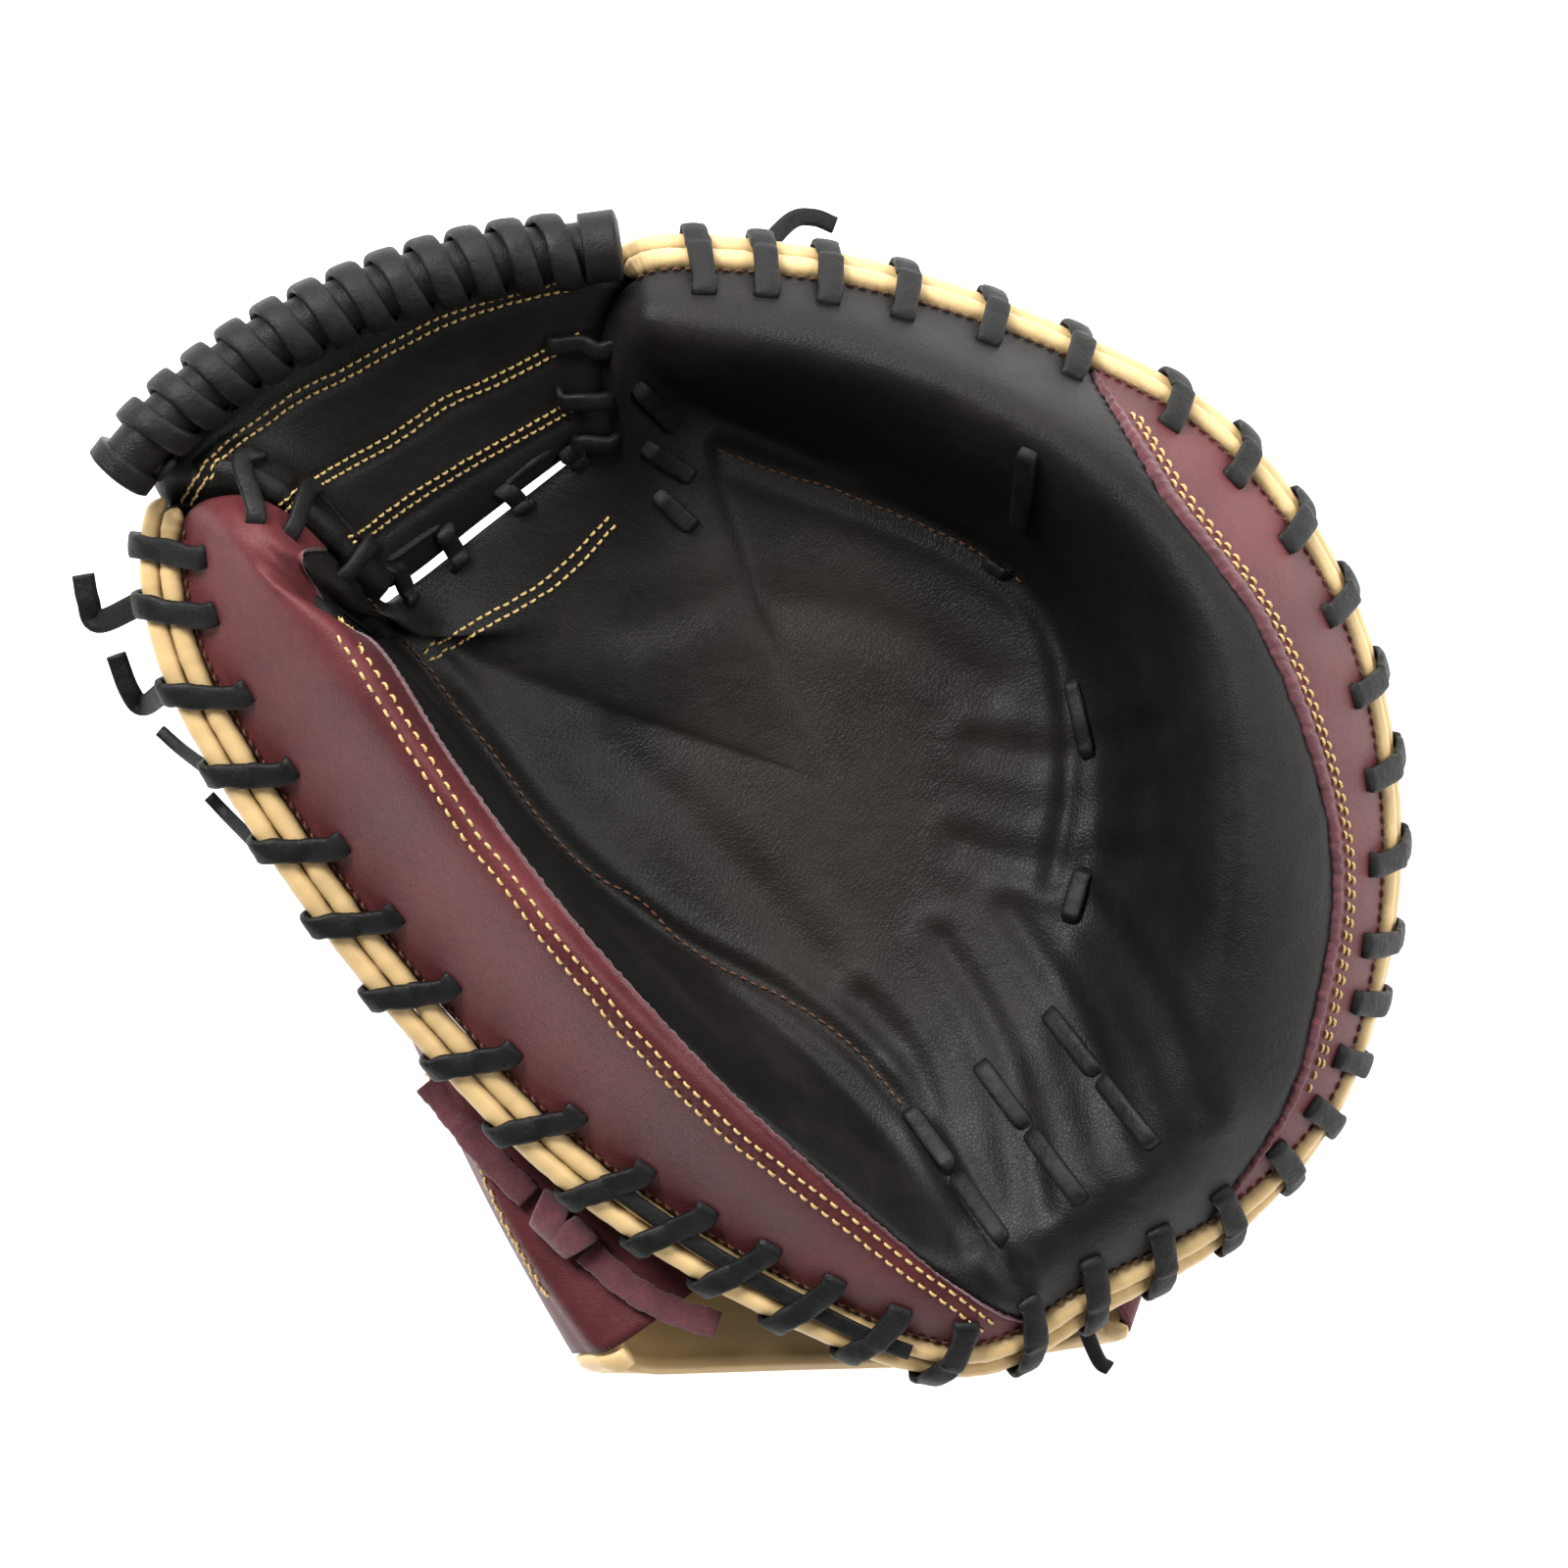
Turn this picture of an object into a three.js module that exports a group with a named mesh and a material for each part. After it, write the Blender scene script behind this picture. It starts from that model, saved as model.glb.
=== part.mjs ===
// A catcher's mitt for the left hand, lying on its back with the palm up.
// Lengths are millimetres. X runs from the thumb side to the little finger side, Y from the
// heel to the finger tips, and Z up from the surface that the mitt lies on.
import * as THREE from 'three';

// Overall sizes, seam to seam
const WIDTH = 321;
const LENGTH = 278;
const DEPTH = 125;

// Padding behind the palm leather
const PAD_POCKET = 9;
const PAD_FOOT = 14;
const PAD_RIM = 44;
const PAD_FLANGE = 5.6;

// Leather walls and the clearances between pieces
const PANEL_WALL = 1.6;
const BACK_WALL = 2.5;
const GAP = 0.3;
const LACE_CLEARANCE = 1.1;

// Piping: two rolls side by side round the rim
const PIPING_RADIUS = 2.6;
const PIPING_SIDES = 6;

// Lace that whips the rim together
const LACE_WIDTH = 6;
const LACE_THICKNESS = 2;
const HOLE_INSET = 8;
const FLANGE_WIDTH = 12;
const HOLE_PLAY = 2.8;
const FLANGE_DEPTH = 13;
const BACK_TURN = 22;

// Opening in the back of the mitt, where the back of the hand shows
const HAND_OPENING_WIDTH = 84;
const HAND_OPENING_LENGTH = 60;
const HAND_OPENING_X = 12;
const HAND_OPENING_Y = -28;

// Web between thumb and first finger, and the laced roll along its top
const WEB_WALL = 4;
const WEB_SAG = 7;
const WEB_MARGIN = 3.6;
const ROLL_RADIUS = 6.6;
const ROLL_LACE_WIDTH = 6.4;
const ROLL_LACE_THICKNESS = 2;
const ROLL_TURNS = 12;
const CUFF_WALL = 2;

// Wrist strap, its padded lining and its tie
const STRAP_WALL = 2.4;
const LINING_WALL = 4.4;
const LINING_DEPTH = STRAP_WALL + 2.5 * GAP;
const TIE_WIDTH = 7;
const TIE_THICKNESS = 2.2;
const KNOT_WIDTH = 10;
const KNOT_HEIGHT = 8;

const BLACK = { colour: 0x18181b, roughness: 0.55 };
const MAROON = { colour: 0x5e2d30, roughness: 0.5 };
const CREAM = { colour: 0xf0d08f, roughness: 0.45 };
const LACE = { colour: 0x1c1b1d, roughness: 0.6 };

// Sections round the mitt, counter-clockwise from the thumb tip. Places are shares of half the
// width, half the length and the depth: the seam at the rim, the crest of the padded rim and the
// foot of the slope into the pocket. Slope is how steeply the palm leather falls at the seam, lean
// how far the pair of piping rolls turns down from level, both in degrees. Pad is the rim's
// padding as a share of its thickest, panel where the coloured panel begins between pocket centre
// (0) and seam (1), tilt how far a lace wrap leans along the rim in millimetres, and piped
// whether the rim has piping there.
const RIM = [
  { name: 'thumb_tip', seam: [-0.830, 0.450, 0.768], crest: [-0.689, 0.363, 0.944],
    foot: [-0.505, 0.211, 0.496], slope: 50, lean: 30, pad: 0.65, panel: 0.65, tilt: -1, piped: 1 },
  { name: 'thumb_upper', seam: [-0.795, 0.211, 0.704], crest: [-0.591, 0.263, 0.976],
    foot: [-0.456, 0.164, 0.416], slope: 45, lean: 15, pad: 1.00, panel: 0.70, tilt: -9, piped: 1 },
  { name: 'thumb_mid', seam: [-0.626, -0.112, 0.624], crest: [-0.455, 0.030, 0.976],
    foot: [-0.353, 0.014, 0.368], slope: 45, lean: 10, pad: 1.00, panel: 0.73, tilt: -11, piped: 1 },
  { name: 'thumb_low', seam: [-0.435, -0.392, 0.544], crest: [-0.269, -0.245, 0.896],
    foot: [-0.212, -0.167, 0.336], slope: 45, lean: 10, pad: 1.00, panel: 0.75, tilt: -11, piped: 1 },
  { name: 'thumb_base', seam: [-0.216, -0.643, 0.480], crest: [-0.053, -0.507, 0.776],
    foot: [-0.041, -0.313, 0.336], slope: 45, lean: 10, pad: 0.95, panel: 0.77, tilt: -11, piped: 1 },
  { name: 'heel_thumb', seam: [0.063, -0.849, 0.440], crest: [0.136, -0.687, 0.656],
    foot: [0.137, -0.450, 0.352], slope: 50, lean: 25, pad: 0.75, panel: 0.79, tilt: -10, piped: 1 },
  { name: 'heel_mid', seam: [0.335, -0.968, 0.424], crest: [0.320, -0.836, 0.544],
    foot: [0.278, -0.604, 0.376], slope: 55, lean: 52, pad: 0.60, panel: 0.83, tilt: -9, piped: 1 },
  { name: 'heel_right', seam: [0.531, -0.859, 0.416], crest: [0.475, -0.751, 0.536],
    foot: [0.367, -0.535, 0.392], slope: 55, lean: 50, pad: 0.60, panel: 1.12, tilt: -9, piped: 1 },
  { name: 'little_base', seam: [0.741, -0.726, 0.400], crest: [0.635, -0.605, 0.592],
    foot: [0.434, -0.415, 0.384], slope: 60, lean: 64, pad: 0.75, panel: 0.97, tilt: -7, piped: 1 },
  { name: 'little_low', seam: [0.908, -0.500, 0.400], crest: [0.713, -0.391, 0.688],
    foot: [0.486, -0.278, 0.368], slope: 72, lean: 84, pad: 0.95, panel: 0.92, tilt: 0, piped: 1 },
  { name: 'side_mid', seam: [0.969, -0.121, 0.432], crest: [0.739, -0.070, 0.768],
    foot: [0.527, -0.021, 0.352], slope: 72, lean: 75, pad: 1.00, panel: 0.915, tilt: 8, piped: 1 },
  { name: 'side_upper', seam: [0.913, 0.279, 0.496], crest: [0.693, 0.265, 0.832],
    foot: [0.487, 0.220, 0.344], slope: 68, lean: 75, pad: 1.00, panel: 0.872, tilt: 9, piped: 1 },
  { name: 'shoulder', seam: [0.727, 0.592, 0.576], crest: [0.540, 0.515, 0.864],
    foot: [0.375, 0.383, 0.344], slope: 60, lean: 66, pad: 1.00, panel: 0.87, tilt: 8, piped: 1 },
  { name: 'top_right', seam: [0.473, 0.763, 0.640], crest: [0.331, 0.665, 0.864],
    foot: [0.197, 0.494, 0.352], slope: 58, lean: 66, pad: 0.90, panel: 1.04, tilt: 6, piped: 1 },
  { name: 'top_mid', seam: [0.180, 0.871, 0.704], crest: [0.132, 0.735, 0.848],
    foot: [0.033, 0.559, 0.368], slope: 55, lean: 60, pad: 0.80, panel: 1.50, tilt: 4, piped: 1 },
  { name: 'finger_tip', seam: [-0.083, 0.901, 0.752], crest: [-0.075, 0.775, 0.840],
    foot: [-0.085, 0.596, 0.400], slope: 55, lean: 48, pad: 0.85, panel: 1.50, tilt: 3, piped: 1 },
  { name: 'tip_corner', seam: [-0.170, 0.870, 0.760], crest: [-0.150, 0.780, 0.816],
    foot: [-0.127, 0.603, 0.432], slope: 55, lean: 50, pad: 0.40, panel: 1.50, tilt: 0, piped: 1 },
  { name: 'index_side', seam: [-0.212, 0.772, 0.688], crest: [-0.182, 0.704, 0.704],
    foot: [-0.141, 0.561, 0.432], slope: 50, lean: 60, pad: 0.18, panel: 1.50, tilt: 0, piped: 0 },
  { name: 'index_root', seam: [-0.205, 0.629, 0.544], crest: [-0.170, 0.589, 0.520],
    foot: [-0.115, 0.493, 0.408], slope: 25, lean: 60, pad: 0.18, panel: 1.50, tilt: 0, piped: 0 },
  { name: 'web_right', seam: [-0.247, 0.587, 0.472], crest: [-0.230, 0.539, 0.464],
    foot: [-0.160, 0.408, 0.392], slope: 0, lean: 60, pad: 0.20, panel: 1.50, tilt: 0, piped: 0 },
  { name: 'web_middle', seam: [-0.381, 0.467, 0.440], crest: [-0.352, 0.415, 0.432],
    foot: [-0.234, 0.271, 0.368], slope: 0, lean: 60, pad: 0.20, panel: 1.50, tilt: 0, piped: 0 },
  { name: 'web_left', seam: [-0.511, 0.350, 0.464], crest: [-0.473, 0.294, 0.448],
    foot: [-0.353, 0.185, 0.376], slope: 0, lean: 60, pad: 0.20, panel: 1.50, tilt: 0, piped: 0 },
  { name: 'thumb_root', seam: [-0.552, 0.342, 0.640], crest: [-0.529, 0.301, 0.624],
    foot: [-0.471, 0.246, 0.416], slope: 20, lean: 60, pad: 0.20, panel: 1.30, tilt: 0, piped: 0 },
  { name: 'thumb_inner', seam: [-0.658, 0.466, 0.824], crest: [-0.649, 0.397, 0.904],
    foot: [-0.513, 0.263, 0.480], slope: 45, lean: 60, pad: 0.28, panel: 0.80, tilt: 0, piped: 0 },
  { name: 'thumb_end', seam: [-0.750, 0.507, 0.856], crest: [-0.682, 0.391, 0.936],
    foot: [-0.520, 0.237, 0.496], slope: 55, lean: 50, pad: 0.45, panel: 0.68, tilt: 0, piped: 0 },
];
const POCKET_CENTRE = [0.137, 0.014, 0.320];
const FOOT_AT = 0.55;
const CREST_AT = 0.80;
const PAD_FULL_AT = 0.74;
const FOOT_CLIMB = 4;

// Places along the rim that pieces begin or end at, in sections of the table above
const LACED_END = 15;
const PIPING_START = -0.2;
const PIPING_END = 15.9;
const PANEL_LIMIT = 0.985;
const RING_MARGIN = 0.012;
const LAYER_REACH = 0.5;
const LAYER_DEPTH = 0.03;
const LAYER_UP = 22;
const PLAIN_RING = 0.92;
const BACK_SPLIT = 20;
const WEB_STATION_COUNT = 18;

// Runs of lace wraps, as shares of the laced rim's length
const WRAP_RUNS = [
  { run: 'thumb_tip', first: 0.009, last: 0.031, count: 2 },
  { run: 'thumb', first: 0.062, last: 0.279, count: 8 },
  { run: 'heel', first: 0.305, last: 0.511, count: 9 },
  { run: 'little_finger', first: 0.536, last: 0.616, count: 5 },
  { run: 'side', first: 0.644, last: 0.822, count: 7 },
  { run: 'top', first: 0.860, last: 0.923, count: 3 },
  { run: 'finger_tip', first: 0.950, last: 0.994, count: 3 },
];

// Centre line of the roll along the top of the web, thumb end first
const ROLL_LINE = [
  [-0.924, 0.538, 0.856],
  [-0.877, 0.603, 0.872],
  [-0.797, 0.686, 0.880],
  [-0.674, 0.781, 0.880],
  [-0.530, 0.855, 0.864],
  [-0.386, 0.903, 0.848],
  [-0.242, 0.926, 0.824],
  [-0.178, 0.936, 0.824],
];

// Laces that lie on the palm, from hole to hole, as shares of half the width and half the length
const PALM_LACES = [
  { name: 'heel_lace_1', from: [0.247, -0.549], to: [0.399, -0.789], width: 4.6 },
  { name: 'heel_lace_2', from: [0.354, -0.467], to: [0.515, -0.717], width: 4.8 },
  { name: 'heel_lace_3', from: [0.458, -0.377], to: [0.623, -0.618], width: 4.8 },
  { name: 'finger_lace_1', from: [0.425, 0.587], to: [0.419, 0.460], width: 5.2 },
  { name: 'finger_lace_2', from: [0.360, 0.412], to: [0.414, 0.377], width: 3.4 },
  { name: 'finger_lace_3', from: [0.497, 0.206], to: [0.529, 0.051], width: 4.2 },
  { name: 'finger_lace_4', from: [0.523, -0.127], to: [0.495, -0.237], width: 5 },
  { name: 'index_lace_1', from: [-0.160, 0.703], to: [-0.100, 0.631], width: 4.6 },
  { name: 'index_lace_2', from: [-0.151, 0.604], to: [-0.071, 0.545], width: 4.6 },
  { name: 'index_lace_3', from: [-0.133, 0.525], to: [-0.068, 0.456], width: 4.6 },
];

// Wrist strap: rows along it from its thumb end to its little finger end. Each row has a point on
// the edge nearest the heel and one on the edge nearest the palm; start and end say how far the
// row still follows the curve of the rim where the strap is sewn in.
const STRAP = [
  { name: 'sewn_start', heel: [-0.087, -0.942, 0.320], palm: [-0.449, -0.460, 0.368], start: 1, end: 0 },
  { name: 'rise', heel: [-0.187, -0.971, 0.320], palm: [-0.474, -0.446, 0.344], start: 0.8, end: 0 },
  { name: 'shoulder', heel: [-0.243, -0.986, 0.264], palm: [-0.492, -0.439, 0.288], start: 0.45, end: 0 },
  { name: 'side', heel: [-0.262, -0.993, 0.176], palm: [-0.505, -0.439, 0.192], start: 0.2, end: 0 },
  { name: 'turn', heel: [-0.237, -1.000, 0.064], palm: [-0.467, -0.439, 0.072], start: 0.05, end: 0 },
  { name: 'floor_thumb', heel: [-0.162, -1.000, 0.000], palm: [-0.374, -0.446, 0.000], start: 0, end: 0 },
  { name: 'floor_middle', heel: [0.062, -0.993, 0.000], palm: [-0.062, -0.453, 0.000], start: 0, end: 0 },
  { name: 'floor_wrist', heel: [0.312, -0.986, 0.000], palm: [0.262, -0.482, 0.000], start: 0, end: 0 },
  { name: 'floor_end', heel: [0.486, -0.971, 0.000], palm: [0.474, -0.604, 0.000], start: 0, end: 0 },
  { name: 'end_turn', heel: [0.567, -0.964, 0.072], palm: [0.611, -0.683, 0.072], start: 0, end: 0.1 },
  { name: 'end_side', heel: [0.592, -0.942, 0.168], palm: [0.667, -0.705, 0.168], start: 0, end: 0.4 },
  { name: 'sewn_end', heel: [0.523, -0.849, 0.256], palm: [0.679, -0.683, 0.256], start: 0, end: 1 },
];

// Lining across the strap: place across it, and how deep its outer and inner face lie
const LINING = [
  { across: -0.070, outer: 1.6, inner: 5.4 },
  { across: -0.045, outer: 0.1, inner: 7.6 },
  { across: -0.014, outer: 0.1, inner: 8.0 },
  { across: -0.010, outer: LINING_DEPTH, inner: LINING_DEPTH + LINING_WALL },
  { across: 0.500, outer: LINING_DEPTH, inner: LINING_DEPTH + LINING_WALL },
  { across: 0.960, outer: LINING_DEPTH, inner: LINING_DEPTH + LINING_WALL },
];

const UP = new THREE.Vector3(0, 0, 1);
const add = (p, ...terms) => {
  const sum = p.clone();
  for (const [direction, amount] of terms) sum.addScaledVector(direction, amount);
  return sum;
};
const place = ([x, y, z]) => new THREE.Vector3(x * WIDTH / 2, y * LENGTH / 2, z * DEPTH);
const radians = THREE.MathUtils.degToRad;
const smooth = THREE.MathUtils.smoothstep;
const { lerp } = THREE.MathUtils;

// Catmull-Rom blend of four values
function blend(a, b, c, d, t) {
  return 0.5 * (2 * b + (c - a) * t + (2 * a - 5 * b + 4 * c - d) * t * t
    + (3 * b - a - 3 * c + d) * t * t * t);
}

const ROWS = RIM.map((row) => ({
  ...row, seam: place(row.seam), crest: place(row.crest), foot: place(row.foot),
}));

// All columns of the table at a place between two sections
function section(s) {
  const count = ROWS.length;
  const turn = THREE.MathUtils.euclideanModulo(s, count);
  const index = Math.floor(turn);
  const t = turn - index;
  const rows = [-1, 0, 1, 2].map((step) => ROWS[(index + step + count) % count]);
  const number = (column) => blend(...rows.map((row) => row[column]), t);
  const point = (column) => new THREE.Vector3(...['x', 'y', 'z'].map(
    (axis) => blend(...rows.map((row) => row[column][axis]), t)));
  return {
    seam: point('seam'), crest: point('crest'), foot: point('foot'),
    slope: radians(number('slope')), lean: radians(number('lean')),
    pad: number('pad'), panel: number('panel'), tilt: number('tilt'),
    piped: THREE.MathUtils.lerp(rows[1].piped, rows[2].piped, t),
  };
}

// Directions at the seam: along it, level outwards, down the palm leather and square to it,
// and from the inner to the outer piping roll and square to that
function rimFrame(s) {
  const step = 0.01;
  const cut = section(s);
  const along = section(s + step).seam.sub(section(s - step).seam);
  const speed = along.length() / (2 * step);
  along.normalize();
  const out = along.clone().cross(UP).normalize();
  const turned = (angle) => add(new THREE.Vector3(), [out, Math.cos(angle)], [UP, -Math.sin(angle)]);
  const square = (angle) => add(new THREE.Vector3(), [out, Math.sin(angle)], [UP, Math.cos(angle)]);
  return {
    ...cut, along, out, speed,
    down: turned(cut.slope), face: square(cut.slope),
    across: turned(cut.lean), top: square(cut.lean),
  };
}

// Cubic through two knots with given speeds
function hermite(p0, m0, p1, m1, t, span) {
  const t2 = t * t;
  const t3 = t2 * t;
  return add(new THREE.Vector3(), [p0, 2 * t3 - 3 * t2 + 1], [m0, (t3 - 2 * t2 + t) * span],
    [p1, 3 * t2 - 2 * t3], [m1, (t3 - t2) * span]);
}

// Front of the palm: u is 0 at the pocket centre and 1 at the seam
function palmPoint(s, u) {
  const rim = rimFrame(s);
  const centre = place(POCKET_CENTRE);
  const knots = [0, FOOT_AT, CREST_AT, 1];
  const points = [centre, rim.foot, rim.crest, rim.seam];
  const slopeOf = (i) => points[i + 1].clone().sub(points[i]).divideScalar(knots[i + 1] - knots[i]);
  const tangentAt = (i) => {
    const before = knots[i] - knots[i - 1];
    const after = knots[i + 1] - knots[i];
    return slopeOf(i - 1).multiplyScalar(after).addScaledVector(slopeOf(i), before)
      .divideScalar(before + after);
  };
  const level = slopeOf(0);
  level.z = 0;
  const foot = tangentAt(1);
  foot.z = Math.min(foot.z, FOOT_CLIMB * slopeOf(0).z);
  const seam = rim.down.clone().multiplyScalar(slopeOf(2).length());
  const tangents = [level, foot, tangentAt(2), seam];
  let i = 0;
  while (i < 2 && u > knots[i + 1]) i += 1;
  const span = knots[i + 1] - knots[i];
  return hermite(points[i], tangents[i], points[i + 1], tangents[i + 1], (u - knots[i]) / span, span);
}

function palmNormal(s, u) {
  const step = 0.004;
  const inner = Math.max(u - step, 0.02);
  const outward = palmPoint(s, Math.min(u + step, 1)).sub(palmPoint(s, inner));
  const along = palmPoint(s + step, Math.max(u, 0.03)).sub(palmPoint(s - step, Math.max(u, 0.03)));
  return outward.cross(along).normalize();
}

// The u that lies a length inwards from the seam, and always nearer to it than the crest
function seamInset(s, length) {
  const { crest, seam } = section(s);
  const slope = crest.distanceTo(seam);
  return 1 - (1 - CREST_AT) * length / Math.max(slope, FLANGE_WIDTH * 1.5);
}

// Direction in which the layers of the palm lie on each other, evened out along the rim
function layerNormal(s, u) {
  const sum = new THREE.Vector3(0, 0, LAYER_UP * Math.cos(section(s).lean) ** 4);
  for (const step of [-1, 0, 1]) {
    sum.add(palmNormal(s + step * LAYER_REACH, u)).add(palmNormal(s, u + step * LAYER_DEPTH));
  }
  return sum.normalize();
}

// Thickness of the padded palm at u
function padding(s, u) {
  const rim = PAD_RIM * section(s).pad;
  const knots = [0, FOOT_AT, PAD_FULL_AT, seamInset(s, FLANGE_WIDTH), 1];
  const values = [PAD_POCKET, PAD_FOOT, Math.max(rim, PAD_POCKET), PAD_FLANGE, PAD_FLANGE];
  let i = 0;
  while (i < 3 && u > knots[i + 1]) i += 1;
  return THREE.MathUtils.mapLinear(u, knots[i], knots[i + 1], values[i], values[i + 1]);
}

function palmRear(s, u) {
  const turn = smooth(u, PAD_FULL_AT, seamInset(s, FLANGE_WIDTH));
  const away = UP.clone().lerp(palmNormal(s, u), turn).normalize();
  return add(palmPoint(s, u), [away, -padding(s, u)]);
}

// Shares of the way along the laced rim, turned into places between sections
function lacedPlaces() {
  const steps = 600;
  const reach = [0];
  let last = section(0).seam;
  for (let i = 1; i <= steps; i += 1) {
    const here = section(LACED_END * i / steps).seam;
    reach.push(reach[i - 1] + here.distanceTo(last));
    last = here;
  }
  const find = (share) => {
    const target = share * reach[steps];
    const i = Math.max(1, reach.findIndex((length) => length >= target));
    const part = (target - reach[i - 1]) / (reach[i] - reach[i - 1]);
    return LACED_END * (i - 1 + part) / steps;
  };
  return WRAP_RUNS.flatMap(({ first, last: end, count }) => Array.from(
    { length: count }, (_, i) => find(first + (end - first) * i / (count - 1))));
}

const WRAPS = lacedPlaces();
const WEB_SIDE = ROWS.length - LACED_END;
const STATIONS = [
  ...WRAPS.slice(1).map((s, i) => (s + WRAPS[i]) / 2),
  ...Array.from({ length: WEB_STATION_COUNT + 1 }, (_, i) => LACED_END + WEB_SIDE * i / WEB_STATION_COUNT),
];

const flangeRing = (s) => seamInset(s, FLANGE_WIDTH);
const hasPanel = (s) => section(s).panel < PANEL_LIMIT;
const panelRing = (s) => Math.min(hasPanel(s) ? section(s).panel : PLAIN_RING, flangeRing(s) - RING_MARGIN);

// A mesh from points and triangles, turned outwards where they face in
function solid(name, points, triangles, look) {
  const position = new Float32Array(points.flatMap((p) => [p.x, p.y, p.z]));
  let volume = 0;
  for (const [a, b, c] of triangles) volume += points[a].dot(points[b].clone().cross(points[c]));
  const faces = volume < 0 ? triangles.map(([a, b, c]) => [a, c, b]) : triangles;
  const geometry = new THREE.BufferGeometry();
  geometry.setAttribute('position', new THREE.BufferAttribute(position, 3));
  geometry.setIndex(faces.flat());
  return meshOf(name, geometry, look);
}

function meshOf(name, geometry, look) {
  const material = new THREE.MeshStandardMaterial({ color: look.colour, roughness: look.roughness, metalness: 0 });
  const mesh = new THREE.Mesh(geometry, material);
  mesh.name = name;
  return mesh;
}

// Corners of a window in a quadrilateral, from shares along its first and second side
function windowCorners([a, b, c, d], { along, across }) {
  const at = (i, j) => a.clone().lerp(b, i).lerp(d.clone().lerp(c, i), j);
  return [at(along[0], across[0]), at(along[1], across[0]), at(along[1], across[1]), at(along[0], across[1])];
}

// Two facing quadrilaterals of a wall with a window through both
function pierceQuads(points, triangles, front, rear, window) {
  const corners = (quad) => {
    const first = points.length;
    points.push(...windowCorners(quad.map((index) => points[index]), window));
    return [0, 1, 2, 3].map((k) => first + k);
  };
  const near = corners(front);
  const far = corners(rear);
  for (let k = 0; k < 4; k += 1) {
    const n = (k + 1) % 4;
    triangles.push([front[k], front[n], near[n]], [front[k], near[n], near[k]]);
    triangles.push([rear[k], far[n], rear[n]], [rear[k], far[k], far[n]]);
    triangles.push([near[k], near[n], far[n]], [near[k], far[n], far[k]]);
  }
}

// A closed skin through rings of equal length, each end drawn to a point or capped by a fan.
// A window through the skin goes from one band of quadrilaterals to another.
function loft(name, rings, look, { ends = [], windows = [], bands = [] } = {}) {
  const size = rings[0].length;
  const points = rings.flat();
  const triangles = [];
  for (let r = 0; r + 1 < rings.length; r += 1) {
    for (let i = 0; i < size; i += 1) {
      const j = (i + 1) % size;
      const a = r * size + i;
      const b = r * size + j;
      if (bands.includes(r) && windows[i]) continue;
      triangles.push([a, b, b + size], [a, b + size, a + size]);
    }
  }
  windows.forEach((window, i) => {
    if (!window) return;
    const j = (i + 1) % size;
    const [f, b] = bands.map((r) => r * size);
    pierceQuads(points, triangles, [f + i, f + j, f + size + j, f + size + i],
      [b + size + i, b + size + j, b + j, b + i], window);
  });
  const tips = [{ base: 0, flip: true }, { base: (rings.length - 1) * size, flip: false }];
  tips.forEach(({ base, flip }, end) => {
    const fan = (a, b, c) => triangles.push(flip ? [a, c, b] : [a, b, c]);
    if (ends[end]) {
      points.push(ends[end]);
      for (let i = 0; i < size; i += 1) fan(base + i, base + (i + 1) % size, points.length - 1);
    } else {
      for (let i = 1; i + 1 < size; i += 1) fan(base, base + i, base + i + 1);
    }
  });
  return solid(name, points, triangles, look);
}

// A wall between two grids of points of the same size, with windows in one column of it
function wall(name, outer, inner, look, windows = [], band = 0) {
  const rows = outer.length;
  const columns = outer[0].length;
  const points = [...outer.flat(), ...inner.flat()];
  const at = (layer, i, j) => layer * rows * columns + i * columns + j;
  const triangles = [];
  const quad = (a, b, c, d) => triangles.push([a, b, c], [a, c, d]);
  for (let i = 0; i + 1 < rows; i += 1) {
    for (let j = 0; j + 1 < columns; j += 1) {
      const [near, far] = [0, 1].map((layer) => [
        at(layer, i, j), at(layer, i + 1, j), at(layer, i + 1, j + 1), at(layer, i, j + 1)]);
      if (j === band && windows[i]) {
        pierceQuads(points, triangles, near, far, windows[i]);
      } else {
        quad(...near);
        triangles.push([far[0], far[2], far[1]], [far[0], far[3], far[2]]);
      }
    }
    quad(at(0, i, 0), at(1, i, 0), at(1, i + 1, 0), at(0, i + 1, 0));
    quad(at(0, i, columns - 1), at(0, i + 1, columns - 1), at(1, i + 1, columns - 1), at(1, i, columns - 1));
  }
  for (let j = 0; j + 1 < columns; j += 1) {
    quad(at(0, 0, j), at(0, 0, j + 1), at(1, 0, j + 1), at(1, 0, j));
    quad(at(0, rows - 1, j), at(1, rows - 1, j), at(1, rows - 1, j + 1), at(0, rows - 1, j + 1));
  }
  return solid(name, points, triangles, look);
}

// A flat strip along a path; each step may fix the direction of its width
function ribbon(name, path, width, thickness, look) {
  const rings = path.map((step, i) => {
    const before = path[Math.max(i - 1, 0)].point;
    const after = path[Math.min(i + 1, path.length - 1)].point;
    const into = step.point.clone().sub(before);
    const onward = after.clone().sub(step.point);
    if (into.lengthSq() === 0) into.copy(onward);
    if (onward.lengthSq() === 0) onward.copy(into);
    into.normalize();
    onward.normalize();
    const heading = into.clone().add(onward).normalize();
    const side = step.fixed ? step.side.clone() : add(step.side, [heading, -step.side.dot(heading)]);
    side.normalize();
    const mitre = 1 / Math.max(heading.dot(onward), 0.7);
    const rise = heading.clone().cross(side).normalize().multiplyScalar(mitre * thickness / 2);
    const half = side.multiplyScalar((step.width ?? width) / 2);
    const corner = (a, b) => add(step.point, [half, a], [rise, b]);
    return [corner(-1, -1), corner(1, -1), corner(1, 1), corner(-1, 1)];
  });
  return loft(name, rings, look);
}

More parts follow.
